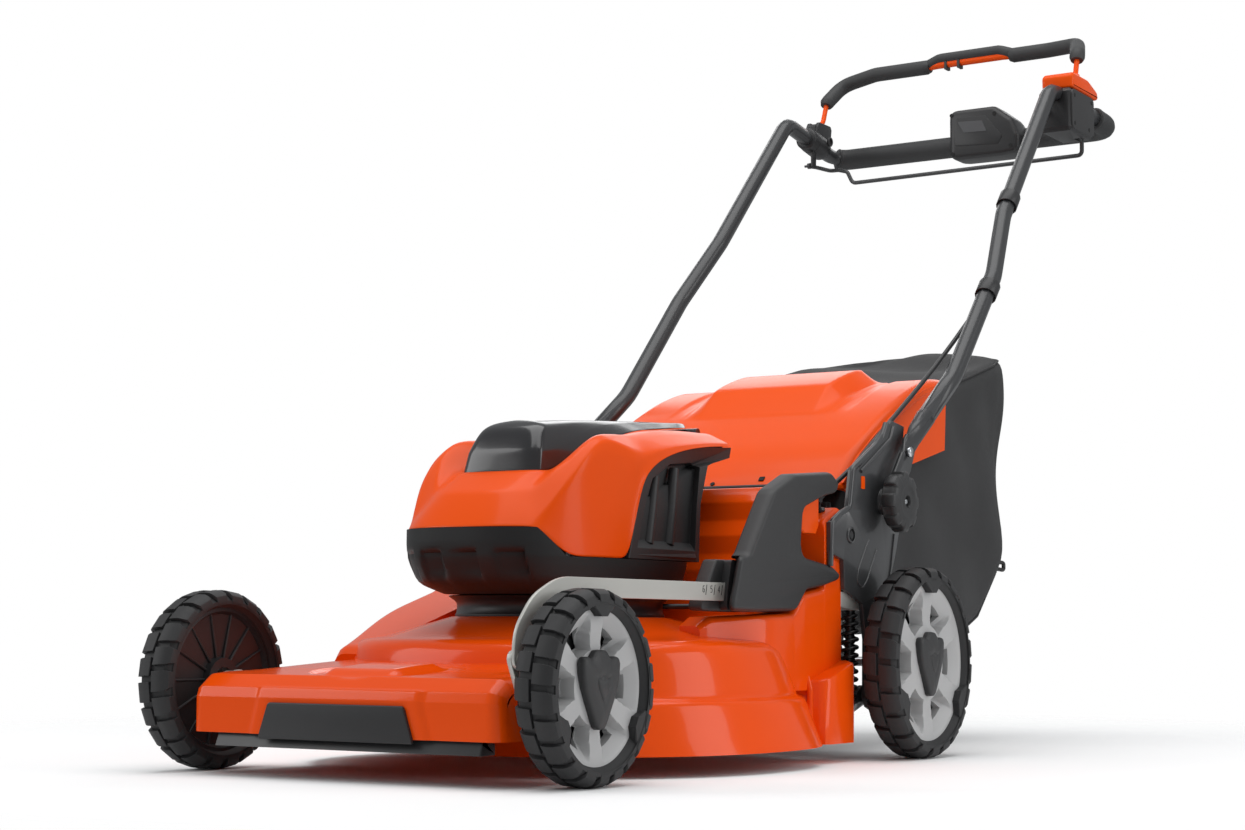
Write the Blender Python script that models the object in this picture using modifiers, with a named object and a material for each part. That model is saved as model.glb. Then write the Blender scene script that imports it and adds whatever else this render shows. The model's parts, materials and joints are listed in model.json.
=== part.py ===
"""A cordless lawn mower with a pressed steel deck, rear drive and a folding handle.

Metres, +Z up, -Y to the front, +X to the operator's left, ground at z = 0. Every place is worked out from
the front wheels' axis, at y = 0, and one empty then moves the whole machine to the middle of its length.
"""

import math

import bmesh
import bpy
from mathutils import Matrix, Vector

# Wheels, and the ground that they stand on
FRONT_WHEEL_D = 0.203
REAR_WHEEL_D = 0.242
FRONT_WHEEL_X = 0.2554
REAR_WHEEL_X = 0.2997
WHEELBASE = 0.7018
TYRE_WIDTH = 0.048
FRONT_RIM_R = 0.0816
REAR_RIM_R = 0.1022
TYRE_SIDES = 28
TYRE_SHOULDER = 0.011
TREAD_DROP = 0.006
RIM_WALL = 0.005
HUB_R = 0.017
HUB_REACH = 0.016
AXLE_R = 0.006
HUB_CAP_R = 0.034
HUB_CAP_T = 0.0107
SPOKES = 6
GAP = 0.0003

# Cutting height gear: crank arms that trail their pivots, and a lever up to the link bar
ARM_BACK = 0.035
ARM_RISE = 0.0415
LEVER_FORWARD = 0.038
LEVER_UP = 0.0704
ARM_T = 0.006
FRONT_ARM_X = 0.2165
REAR_ARM_X = 0.2645
PIVOT_R = 0.009
ARM_EYE_R = 0.0135
PIN_R = 0.004
LINK_X = 0.2225
LINK_T = 0.004
LINK_H = 0.021
LINK_Z = 0.2045
LINK_LIFT = 0.0100
SPRING_X = 0.2355
SPRING_TOP_Y = 0.637
SPRING_TOP_Z = 0.186
SPRING_R = 0.0072
SPRING_WIRE_R = 0.0015
SPRING_COILS = 9
SPRING_LUG = (-0.035, -0.005)
SHAFT_R = 0.006

# Deck
DECK_X = 0.300
DECK_MID_Y = 0.355
DECK_FRONT_REACH = 0.300
DECK_REAR_REACH = 0.270
DECK_POWER = 2.3
DECK_POINTS = 36
DECK_BOTTOM = 0.0235
LOWER_TIER_Z = 0.080
UPPER_TIER_Z = 0.138
DECK_RIM_Z = 0.149
DECK_TOP_Z = 0.175
STEEL = 0.0025
NOSE_HALF = 0.208
NOSE_FRONT_Y = -0.089
NOSE_BOTTOM = 0.047
SHAFT_HOLE_R = 0.021

# Blade and motor
SPINDLE_Y = 0.329
BLADE_LENGTH = 0.510
BLADE_WIDTH = 0.055
BLADE_T = 0.004
BLADE_Z = 0.052
MOTOR_SHAFT_R = 0.010
MOTOR_CAN_R = 0.070
MOTOR_CAN_H = 0.050
ROTOR_R = 0.044
PLINTH_R = 0.126
PLINTH_H = 0.025

# Motor housing
HOUSING_FRONT_Y = 0.110
HOUSING_REAR_Y = 0.430
HOUSING_HALF = 0.128
HOUSING_WALL = 0.0035
HOUSING_SPLIT_UP = 0.041
HOUSING_POINTS = 28
LID_HALF = 0.056
LID_T = 0.0055
LID_HINGE_Y = 0.590
LID_HINGE_UP = 0.216
LID_PIN_R = 0.0025
LID_BARREL_R = 0.0072
LID_EAR_X = 0.0393
LID_EAR_T = 0.0057

# Battery packs, one behind the other
PACK_WIDTH = 0.084
PACK_LENGTH = 0.078
PACK_HEIGHT = 0.114
PACK_SPACE = 0.006
PACK_FRONT_Y = 0.250
BAY_WALL = 0.0025

# Rear of the deck: slope, side boxes, flap and bag
SLOPE_HALF = 0.188
SLOPE_FOOT_Y = 0.4583
SLOPE_TOP_Y = 0.574
SLOPE_TOP_Z = 0.342
CHUTE_REAR_Y = 0.656
BOX_OUTER_X = 0.245
BOX_INNER_X = 0.180
BOX_FRONT_Y = 0.308
BOX_STEP_Y = 0.548
BOX_REAR_Y = 0.592
FLAP_BARREL_R = 0.005
FLAP_HINGE_Y = 0.653
FLAP_HALF = 0.2145
FLAP_T = 0.003
BAG_HALF = 0.196
BAG_FRONT_Y = 0.667
BAG_WALL = 0.003
BAG_MOUTH = BAG_HALF - 0.016

# Lifting grip beside the height scale
GRIP_BASE_IN = 0.200
GRIP_IN = 0.2225
GRIP_OUT = 0.2495
TRIGGER_X = 0.2355
TRIGGER_T = 0.0100

# Handle
TUBE_R = 0.0127
FOLD_Y = 0.702
FOLD_Z = 0.326
BRACKET_X = 0.2453
BRACKET_T = 0.006
TUBE_LOW_X = 0.2645
TUBE_MID_X = 0.2409
TUBE_TOP_X = 0.2335
TUBE_TOP_Y = 1.3405
TUBE_TOP_Z = 1.0046
CORNER_X = 0.2500
EYE_X = 0.2425
TUBE_BOLT_Y = 0.748
TUBE_BOLT_Z = 0.394
FLAT_T = 0.005
FOLD_BOLT_R = 0.005
KNOB_R = 0.040
KNOB_T = 0.022
CABLE_R = 0.0032
CABLE_OFF = 0.0016
CLIP_LENGTH = 0.024
UPPER_CLIP_Y = 1.152
LOWER_CLIP_Y = 1.020
GRIP_PAD_HALF = 0.212

# Controls on the handle
BOX_IN_X = 0.206
BOX_OUT_X = 0.262
BOX_FACE_Y = 1.357
BOX_BACK_Y = 1.455
BOX_LOW_Z = 0.942
BOX_HIGH_Z = 1.0105
EYE_HALF = 0.0035
EYE_PIN_R = 0.0022
EYE_PIN_HALF = 0.0095
BUTTON_R = 0.008
BUTTON_DEEP = 0.006
BUTTON_TRAVEL = 0.002
BUTTON_PROUD = 0.003
BUTTON_X = 0.05
BUTTON_UP = 0.032
DISPLAY_REACH = 0.057
DISPLAY_BACK = 0.020
GRIP_Y = 1.556
GRIP_Z = 0.982
GRIP_R = 0.0178
BAIL_AXIS_Y = 1.462
BAIL_AXIS_Z = 1.018
BAIL_WIRE_R = 0.0040
BAIL_PAD_R = 0.0125
WIRE_AXIS_Y = 1.440
WIRE_AXIS_Z = 0.952
WIRE_R = 0.0030

# Everything is centred on its length, between the front tyres and the button on the display's back
REAR_MOST_Y = GRIP_Y + DISPLAY_BACK + BUTTON_PROUD
CENTRE_Y = 0.5 * (REAR_MOST_Y - 0.5 * FRONT_WHEEL_D)

FRONT_AXLE = Vector((0.0, 0.0, 0.5 * FRONT_WHEEL_D))
REAR_AXLE = Vector((0.0, WHEELBASE, 0.5 * REAR_WHEEL_D))
ARM_REACH = Vector((0.0, ARM_BACK, ARM_RISE))
LEVER_REACH = Vector((0.0, -LEVER_FORWARD, LEVER_UP))
FRONT_PIVOT = FRONT_AXLE - ARM_REACH
REAR_PIVOT = REAR_AXLE - ARM_REACH
FRONT_PIN = FRONT_PIVOT + LEVER_REACH
REAR_PIN = REAR_PIVOT + LEVER_REACH
SPINDLE = Vector((0.0, SPINDLE_Y, 0.0))
PLINTH_Z = DECK_TOP_Z + GAP
HOUSING_BOTTOM = PLINTH_Z + PLINTH_H + GAP
LID_HINGE = Vector((0.0, LID_HINGE_Y, HOUSING_BOTTOM + LID_HINGE_UP))
FLAP_HINGE = Vector((0.0, FLAP_HINGE_Y, SLOPE_TOP_Z + FLAP_BARREL_R + GAP))
FOLD = Vector((0.0, FOLD_Y, FOLD_Z))
BAIL_AXIS = Vector((0.0, BAIL_AXIS_Y, BAIL_AXIS_Z))
WIRE_AXIS = Vector((0.0, WIRE_AXIS_Y, WIRE_AXIS_Z))
GROMMET = Vector((0.222, 0.580, 0.314 - 0.012 * 0.018 / 0.044))
GROMMET_UP = Vector((0.0, -0.018, 0.044)).normalized()
EYE_ALONG = Vector((0.0, 0.845, 0.535))
FRONT_ARM_OUT = FRONT_ARM_X + 0.5 * ARM_T
REAR_ARM_OUT = REAR_ARM_X + 0.5 * ARM_T
BRACKET_OUT = BRACKET_X + BRACKET_T
FLAT_LOW_X = TUBE_LOW_X - FLAT_T


def clear_scene():
    for obj in list(bpy.data.objects):
        bpy.data.objects.remove(obj, do_unlink=True)


def new_collection(name):
    collection = bpy.data.collections.new(name)
    bpy.context.scene.collection.children.link(collection)
    return collection


clear_scene()
PARTS = new_collection("cordless_lawn_mower")
CUTTERS = new_collection("cutters")


def material(name, colour, roughness, metallic=0.0):
    made = bpy.data.materials.new(name)
    made.use_nodes = True
    shader = made.node_tree.nodes["Principled BSDF"]
    shader.inputs["Base Color"].default_value = (*colour, 1.0)
    shader.inputs["Roughness"].default_value = roughness
    shader.inputs["Metallic"].default_value = metallic
    made.diffuse_color = (*colour, 1.0)
    return made


ORANGE_STEEL = material("orange_steel", (0.80, 0.105, 0.012), 0.22)
ORANGE_PLASTIC = material("orange_plastic", (0.82, 0.115, 0.015), 0.30)
DARK_PLASTIC = material("dark_plastic", (0.040, 0.041, 0.043), 0.50)
BLACK_PLASTIC = material("black_plastic", (0.012, 0.012, 0.013), 0.40)
LID_PLASTIC = material("lid_plastic", (0.020, 0.020, 0.022), 0.20)
RIM_PLASTIC = material("rim_plastic", (0.50, 0.50, 0.50), 0.42)
TYRE_RUBBER = material("tyre_rubber", (0.018, 0.018, 0.019), 0.80)
TUBE_PAINT = material("tube_paint", (0.030, 0.031, 0.033), 0.42, 0.2)
PAD_RUBBER = material("pad_rubber", (0.035, 0.036, 0.038), 0.70)
LINK_STEEL = material("link_steel", (0.56, 0.56, 0.53), 0.32, 0.8)
ZINC = material("zinc", (0.62, 0.64, 0.66), 0.28, 1.0)
BLADE_STEEL = material("blade_steel", (0.10, 0.10, 0.11), 0.40, 0.9)
MOTOR_METAL = material("motor_metal", (0.55, 0.56, 0.58), 0.35, 1.0)
BAG_FABRIC = material("bag_fabric", (0.040, 0.040, 0.042), 0.95)
SPRING_STEEL = material("spring_steel", (0.020, 0.020, 0.021), 0.35, 0.6)


PIVOTS = {}


def pivot(name, place, parent=None):
    """An empty on a joint's axis, which carries the pieces that move with it."""
    empty = bpy.data.objects.new(name, None)
    empty.empty_display_size = 0.03
    PARTS.objects.link(empty)
    place = Vector(place)
    if parent is None:
        empty.location = (0.0, -CENTRE_Y, 0.0)
    else:
        carrier, origin = PIVOTS[parent]
        empty.parent = carrier
        empty.location = place - origin
    PIVOTS[name] = (empty, place)


def keep(obj, name, paint, body="mower", angle=35.0):
    """Names a finished solid, gives it its material and hangs it on its pivot."""
    carrier, origin = PIVOTS[body]
    obj.data.transform(Matrix.Translation(-origin))
    obj.parent = carrier
    obj.name = name
    obj.data.name = name
    obj.data.materials.clear()
    obj.data.materials.append(paint)
    obj.data.shade_smooth()
    obj.data.set_sharp_from_angle(angle=math.radians(angle))
    for collection in list(obj.users_collection):
        collection.objects.unlink(obj)
    PARTS.objects.link(obj)
    return obj


def from_bmesh(bm):
    mesh = bpy.data.meshes.new("shape")
    bmesh.ops.recalc_face_normals(bm, faces=bm.faces)
    bm.to_mesh(mesh)
    bm.free()
    obj = bpy.data.objects.new("shape", mesh)
    CUTTERS.objects.link(obj)
    return obj


def bake(obj):
    """Replaces an object by the mesh that its modifiers or its curve make, in world space."""
    bpy.context.view_layer.update()
    graph = bpy.context.evaluated_depsgraph_get()
    mesh = bpy.data.meshes.new_from_object(obj.evaluated_get(graph))
    mesh.transform(obj.matrix_world)
    bm = bmesh.new()
    bm.from_mesh(mesh)
    bmesh.ops.remove_doubles(bm, verts=bm.verts, dist=1e-6)
    bm.to_mesh(mesh)
    bm.free()
    baked = bpy.data.objects.new("shape", mesh)
    CUTTERS.objects.link(baked)
    bpy.data.objects.remove(obj, do_unlink=True)
    return baked


def combine(obj, other, operation):
    modifier = obj.modifiers.new("boolean", "BOOLEAN")
    modifier.operation = operation
    modifier.object = other
    baked = bake(obj)
    bpy.data.objects.remove(other, do_unlink=True)
    return baked


def unite(obj, *others):
    for other in others:
        obj = combine(obj, other, "UNION")
    return obj


def cut(obj, *others):
    for other in others:
        obj = combine(obj, other, "DIFFERENCE")
    return obj


def common(obj, other):
    return combine(obj, other, "INTERSECT")


def copy_of(obj):
    twin = obj.copy()
    twin.data = obj.data.copy()
    CUTTERS.objects.link(twin)
    return twin


def moved(obj, offset):
    obj.data.transform(Matrix.Translation(offset))
    return obj


def mirrored(obj):
    """A copy on the machine's other side."""
    twin = copy_of(obj)
    twin.data.transform(Matrix.Scale(-1.0, 4, Vector((1.0, 0.0, 0.0))))
    twin.data.flip_normals()
    return twin


def to_right(obj):
    """The shape itself moved to the machine's other side."""
    twin = mirrored(obj)
    bpy.data.objects.remove(obj, do_unlink=True)
    return twin


def bevelled(obj, width, segments=2, angle=30.0):
    modifier = obj.modifiers.new("bevel", "BEVEL")
    modifier.width = width
    modifier.segments = segments
    modifier.limit_method = "ANGLE"
    modifier.angle_limit = math.radians(angle)
    modifier.use_clamp_overlap = True
    return bake(obj)


def box(low, high):
    """A block between two corners."""
    size = [b - a for a, b in zip(low, high)]
    centre = [0.5 * (a + b) for a, b in zip(low, high)]
    bm = bmesh.new()
    matrix = Matrix.Translation(centre) @ Matrix.Diagonal((*size, 1.0))
    bmesh.ops.create_cube(bm, size=1.0, matrix=matrix)
    return from_bmesh(bm)


def rod(start, end, radius, sides=16, end_radius=None):
    """A round bar, or a cone, between two points."""
    start = Vector(start)
    along = Vector(end) - start
    turn = along.to_track_quat("Z", "Y").to_matrix().to_4x4()
    matrix = Matrix.Translation(start + 0.5 * along) @ turn
    last = radius if end_radius is None else end_radius
    bm = bmesh.new()
    bmesh.ops.create_cone(
        bm,
        cap_ends=True,
        segments=sides,
        radius1=radius,
        radius2=last,
        depth=along.length,
        matrix=matrix,
    )
    return from_bmesh(bm)


def across(x_low, x_high, y, z, radius, sides=16):
    return rod((x_low, y, z), (x_high, y, z), radius, sides)


def turned(profile, steps, phase=0.0):
    """A closed profile of (radius, height) turned once about Z."""
    bm = bmesh.new()
    verts = [bm.verts.new((r, 0.0, h)) for r, h in profile]
    for a, b in zip(verts, verts[1:] + verts[:1]):
        if a.co.x + b.co.x > 0.0:
            bm.edges.new((a, b))
    mesh = bpy.data.meshes.new("profile")
    bm.to_mesh(mesh)
    bm.free()
    obj = bpy.data.objects.new("profile", mesh)
    CUTTERS.objects.link(obj)
    screw = obj.modifiers.new("turn", "SCREW")
    screw.axis = "Z"
    screw.steps = steps
    screw.render_steps = steps
    screw.use_merge_vertices = True
    screw.merge_threshold = 1e-6
    obj.rotation_euler = (0.0, 0.0, phase)
    baked = bake(obj)
    bm = bmesh.new()
    bm.from_mesh(baked.data)
    bmesh.ops.recalc_face_normals(bm, faces=bm.faces)
    bm.to_mesh(baked.data)
    bm.free()
    return baked


def lay_along_x(obj, sign=1.0):
    """Turns a shape's Z axis to X, or to -X with its own X kept upwards."""
    obj.data.transform(Matrix.Rotation(math.radians(90.0 * sign), 4, "Y"))
    return obj


PLANES = {
    "YZ": Matrix(((0, 0, 1, 0), (1, 0, 0, 0), (0, 1, 0, 0), (0, 0, 0, 1))),
    "XZ": Matrix(((1, 0, 0, 0), (0, 0, -1, 0), (0, 1, 0, 0), (0, 0, 0, 1))),
    "XY": Matrix.Identity(4),
}


def rounded(points, radius, steps=3):
    """The outline with its corners rounded, one radius for all or one for each."""
    radii = radius if isinstance(radius, (list, tuple)) else [radius] * len(points)
    out = []
    for index, corner in enumerate(points):
        corner = Vector(corner)
        before = Vector(points[index - 1]) - corner
        after = Vector(points[(index + 1) % len(points)]) - corner
        r = radii[index]
        half = 0.5 * before.angle(after)
        if r <= 0.0 or half > math.radians(88.0):
            out.append(tuple(corner))
            continue
        back = min(r / math.tan(half), 0.48 * before.length, 0.48 * after.length)
        r = back * math.tan(half)
        middle = corner + (before.normalized() + after.normalized()).normalized() * (r / math.sin(half))
        first = corner + before.normalized() * back - middle
        last = corner + after.normalized() * back - middle
        for step in range(steps + 1):
            point = first.lerp(last, step / steps).normalized() * r + middle
            out.append(tuple(point))
    return out


def plate(points, low, high, plane="YZ"):
    """A flat outline given thickness along the plane's normal, between low and high."""
    curve = bpy.data.curves.new("outline", "CURVE")
    curve.dimensions = "2D"
    curve.fill_mode = "BOTH"
    curve.extrude = 0.5 * (high - low)
    spline = curve.splines.new("POLY")
    spline.points.add(len(points) - 1)
    for point, (u, v) in zip(spline.points, points):
        point.co = (u, v, 0.0, 1.0)
    spline.use_cyclic_u = True
    obj = bpy.data.objects.new("outline", curve)
    CUTTERS.objects.link(obj)
    middle = 0.5 * (low + high)
    if plane == "XZ":
        middle = -middle
    obj.matrix_world = PLANES[plane] @ Matrix.Translation((0.0, 0.0, middle))
    baked = bake(obj)
    bm = bmesh.new()
    bm.from_mesh(baked.data)
    bmesh.ops.recalc_face_normals(bm, faces=bm.faces)
    bm.to_mesh(baked.data)
    bm.free()
    return baked


def stadium(a, b, r_a, r_b, steps=8):
    """The outline round two circles, in the plane of its points."""
    a = Vector(a)
    b = Vector(b)
    along = b - a
    heading = math.atan2(along.y, along.x)
    lean = math.asin((r_a - r_b) / along.length)
    out = []
    for centre, radius, start, end in (
        (b, r_b, -0.5 * math.pi + lean, 0.5 * math.pi - lean),
        (a, r_a, 0.5 * math.pi - lean, 1.5 * math.pi + lean),
    ):
        for step in range(steps + 1):
            angle = heading + start + (end - start) * step / steps
            out.append((centre.x + radius * math.cos(angle), centre.y + radius * math.sin(angle)))
    return out


def bent_path(points, bend_r, step_deg=20.0):
    """The points with every bend turned into an arc, of one radius or of one for each."""
    radii = bend_r if isinstance(bend_r, list) else [bend_r] * len(points)
    path = [Vector(points[0])]
    for index in range(1, len(points) - 1):
        corner = Vector(points[index])
        before = (Vector(points[index - 1]) - corner).normalized()
        after = (Vector(points[index + 1]) - corner).normalized()
        half = 0.5 * before.angle(after)
        if half > math.radians(89.0):
            continue
        r = radii[index]
        back = r / math.tan(half)
        centre = corner + (before + after).normalized() * (r / math.sin(half))
        first = corner + before * back - centre
        last = corner + after * back - centre
        turn = math.pi - 2.0 * half
        count = max(2, round(math.degrees(turn) / step_deg))
        for step in range(count + 1):
            path.append(centre + first.normalized().slerp(last.normalized(), step / count) * r)
    path.append(Vector(points[-1]))
    return path


def tube(path, radius, resolution=2):
    """A round bar along a path."""
    curve = bpy.data.curves.new("tube", "CURVE")
    curve.dimensions = "3D"
    curve.bevel_depth = radius
    curve.bevel_resolution = resolution
    curve.use_fill_caps = True
    spline = curve.splines.new("POLY")
    spline.points.add(len(path) - 1)
    for point, place in zip(spline.points, path):
        point.co = (*place, 1.0)
    obj = bpy.data.objects.new("tube", curve)
    CUTTERS.objects.link(obj)
    return bake(obj)


def loft(rings):
    """A closed solid through rings of as many points each."""
    bm = bmesh.new()
    rows = [[bm.verts.new(point) for point in ring] for ring in rings]
    count = len(rows[0])
    for low, high in zip(rows, rows[1:]):
        for index in range(count):
            after = (index + 1) % count
            bm.faces.new((low[index], low[after], high[after], high[index]))
    bm.faces.new(list(reversed(rows[0])))
    bm.faces.new(rows[-1])
    return from_bmesh(bm)


def signed_power(value, power):
    return math.copysign(abs(value) ** power, value)


def egg(half, front, rear, middle, power, count, inset=0.0, rear_power=None):
    """A rounded outline in plan, with its own reach, and if asked its own power, towards the rear."""
    out = []
    for index in range(count):
        angle = 2.0 * math.pi * index / count
        behind = math.sin(angle) > 0.0
        bend = rear_power if behind and rear_power else power
        c = signed_power(math.cos(angle), 2.0 / bend)
        s = signed_power(math.sin(angle), 2.0 / bend)
        reach = rear if behind else front
        out.append(((half - inset) * c, middle + (reach - inset) * s))
    return out


def at_height(outline, z):
    return [(x, y, z) for x, y in outline]


def strip(path, width, steps=5):
    """The outline of a flat bar along a path in its plane, with round ends."""
    path = [Vector(point) for point in path]
    half = 0.5 * width
    left = []
    right = []
    for index, point in enumerate(path):
        before = point - path[index - 1] if index else path[1] - point
        after = path[index + 1] - point if index + 1 < len(path) else before
        along = (before.normalized() + after.normalized()).normalized()
        reach = half / along.dot(after.normalized())
        side = Vector((-along.y, along.x))
        left.append(point + side * reach)
        right.append(point - side * reach)
    ends = []
    for centre, ahead in ((path[-1], path[-1] - path[-2]), (path[0], path[0] - path[1])):
        heading = math.atan2(ahead.y, ahead.x)
        arc = []
        for step in range(1, steps):
            angle = heading + math.pi * (0.5 - step / steps)
            arc.append(centre + Vector((math.cos(angle), math.sin(angle))) * half)
        ends.append(arc)
    outline = left + ends[0] + right[::-1] + ends[1]
    return [tuple(point) for point in outline]


def smooth_route(knots, spacing):
    """Even points along a smooth curve through the route's own points, with straight ends."""
    knots = [Vector(knot) for knot in knots]
    tips = knots[0], knots[-1]
    knots = knots[1:-1]
    first = 2.0 * knots[0] - knots[1]
    last = 2.0 * knots[-1] - knots[-2]
    padded = [first] + knots + [last]
    fine = []
    for a, b, c, d in zip(padded, padded[1:], padded[2:], padded[3:]):
        for step in range(20):
            t = step / 20.0
            fine.append(
                0.5 * (2.0 * b + (c - a) * t + (2.0 * a - 5.0 * b + 4.0 * c - d) * t * t)
                + 0.5 * (3.0 * b - a - 3.0 * c + d) * t ** 3
            )
    fine.append(knots[-1])
    lengths = [(end - start).length for start, end in zip(fine, fine[1:])]
    count = max(2, round(sum(lengths) / spacing))
    stride = sum(lengths) / count
    route = [fine[0]]
    walked = 0.0
    for start, end, length in zip(fine, fine[1:], lengths):
        while len(route) < count and walked + length >= stride * len(route):
            route.append(start.lerp(end, (stride * len(route) - walked) / length))
        walked += length
    route.append(fine[-1])
    return [tips[0]] + route + [tips[1]]


def chamber_ring(inset, z):
    outline = egg(
        DECK_X, DECK_FRONT_REACH, DECK_REAR_REACH, DECK_MID_Y, DECK_POWER, DECK_POINTS, inset
    )
    return at_height(outline, z)


def dome_ring(z):
    """The round pad on the deck that the motor's plinth stands on."""
    radius = PLINTH_R + 0.004
    return at_height(egg(radius, radius, radius, SPINDLE_Y, 2.0, DECK_POINTS), z)


def chamber(wall):
    """The blade chamber: a flared lower tier, a ledge, an upper tier and a sloped top."""
    rings = [
        chamber_ring(wall, DECK_BOTTOM),
        chamber_ring(0.020 + wall, LOWER_TIER_Z - wall),
        chamber_ring(0.029 + wall, LOWER_TIER_Z + 0.006 - wall),
        chamber_ring(0.046 + wall, UPPER_TIER_Z - wall),
        chamber_ring(0.058 + wall, DECK_RIM_Z - wall),
        dome_ring(DECK_TOP_Z - wall),
    ]
    if wall:
        rings.insert(0, chamber_ring(wall, DECK_BOTTOM - 0.02))
    return loft(rings)


def nose(wall):
    """The flat nose between the front wheels, with its crease above the bumper."""
    front = NOSE_FRONT_Y + wall
    half = NOSE_HALF - wall
    back = 0.150
    down = 0.03 if wall else 0.0
    profile = [
        (front, NOSE_BOTTOM - down),
        (back, NOSE_BOTTOM - down),
        (back, 0.128 - wall),
        (0.0, 0.119 - wall),
        (-0.066, 0.113 - wall),
        (front + 0.004, 0.098 - wall),
        (front, 0.086 - wall),
    ]
    return plate(profile, -half, half)


def rear_corner(wall):
    """The skirt behind the chamber's side, with its slanted top edge."""
    outer = 0.268 - wall
    plan = [
        (0.200, 0.470),
        (0.240, 0.505),
        (outer - 0.004, 0.510 + wall),
        (outer, 0.517 + wall),
        (outer, 0.583 - wall),
        (outer - 0.010, BOX_REAR_Y - wall),
        (0.200, BOX_REAR_Y - wall),
    ]
    down = 0.02 if wall else 0.0
    solid = plate(plan, DECK_BOTTOM - down, 0.126, "XY")
    top = plate([(0.45, 0.086), (0.65, 0.139), (0.65, 0.30), (0.45, 0.30)], 0.15, 0.30)
    return cut(solid, moved(top, (0.0, 0.0, -wall)))


def near_box(wall):
    """The raised box under the height grip, and its step up beside the handle bracket."""
    front = BOX_FRONT_Y + wall
    step = BOX_STEP_Y + wall
    rear = BOX_REAR_Y - wall
    floor = 0.0884 + wall
    profile = [
        (front, floor),
        (front, 0.176 - wall),
        (0.470 + wall, 0.181 - wall),
        (0.496 + wall, 0.206 - wall),
        (step, 0.213 - wall),
        (step, 0.296 - wall),
        (rear, 0.314 - wall),
        (rear, floor),
    ]
    outline = rounded(profile, [0, 0.010, 0.010, 0.010, 0, 0.004, 0.004, 0])
    return plate(outline, BOX_INNER_X + wall, BOX_OUTER_X - wall)


def far_ramp(wall):
    """The volute on the far side, rising towards the chute."""
    outer = BOX_OUTER_X - wall
    profile = [
        (0.1412 + wall, 0.0893 + wall),
        (0.1412 + wall, 0.134 - wall),
        (0.385, 0.208 - wall),
        (BOX_REAR_Y - wall, 0.292 - wall),
        (BOX_REAR_Y - wall, 0.0893 + wall),
    ]
    return plate(profile, -outer, -(PLINTH_R + 0.012) - wall)


def slope(wall):
    """The stepped slope behind the motor: the roof of the chute."""
    half = SLOPE_HALF - wall
    rear = CHUTE_REAR_Y + (0.02 if wall else 0.0)
    floor = 0.1335 + wall
    profile = [(SLOPE_FOOT_Y + 2.0 * wall, floor), (SLOPE_FOOT_Y + 2.0 * wall, 0.168)]
    steps = 4
    for index in range(steps):
        share = index / steps
        y = SLOPE_FOOT_Y + (SLOPE_TOP_Y - SLOPE_FOOT_Y) * share + 1.4 * wall
        z = 0.168 + (SLOPE_TOP_Z - 0.168) * share - 0.3 * wall
        rise = (SLOPE_TOP_Z - 0.168) / steps
        run = (SLOPE_TOP_Y - SLOPE_FOOT_Y) / steps
        profile.append((y + 0.25 * run, z + 0.55 * rise))
        profile.append((y + run, z + rise))
    profile += [(rear, SLOPE_TOP_Z - wall), (rear, floor)]
    return plate(profile, -half, half)


def make_deck():
    outer = unite(chamber(0.0), nose(0.0), rear_corner(0.0), to_right(rear_corner(0.0)))
    outer = unite(outer, unite(near_box(0.0), slope(0.0), far_ramp(0.0)))
    inner = unite(chamber(STEEL), cut(nose(STEEL), chamber(0.0)))
    inner = unite(inner, rear_corner(STEEL), to_right(rear_corner(STEEL)))
    inner = unite(inner, unite(near_box(STEEL), slope(STEEL), far_ramp(STEEL)))
    shell = cut(outer, inner)
    hole = rod((0.0, SPINDLE_Y, 0.12), (0.0, SPINDLE_Y, 0.20), SHAFT_HOLE_R)
    axle = across(-0.30, 0.30, FRONT_PIVOT.y, FRONT_PIVOT.z, PIVOT_R + GAP)
    slot = 0.5 * LINK_T + 0.002
    low = LINK_Z - 0.5 * LINK_H - 0.003
    high = LINK_Z + 0.5 * LINK_H + LINK_LIFT + 0.003
    channel = box((LINK_X - slot, 0.474, low), (LINK_X + slot, BOX_REAR_Y + 0.03, high))
    gland = rod(GROMMET - 0.02 * GROMMET_UP, GROMMET + 0.02 * GROMMET_UP, CABLE_R + 0.0016, 16)
    shell = cut(shell, hole, axle, channel, gland)
    keep(shell, "deck_shell", ORANGE_STEEL)


def make_bumper():
    """The dark strip under the nose, and the insert that rises from it on the nose's face."""
    front = NOSE_FRONT_Y - 0.004
    face = NOSE_FRONT_Y - GAP
    low = NOSE_BOTTOM - 0.014
    strip_box = box((-NOSE_HALF + 0.003, front, low), (NOSE_HALF - 0.003, front + 0.020, NOSE_BOTTOM - GAP))
    outline = [(-0.104, 0.040), (0.104, 0.040), (0.103, 0.0465), (0.091, 0.081), (-0.091, 0.081)]
    outline.append((-0.103, 0.0465))
    insert = plate(outline, front + 0.0002, face, "XZ")
    keep(unite(strip_box, insert), "front_bumper", DARK_PLASTIC)


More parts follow.
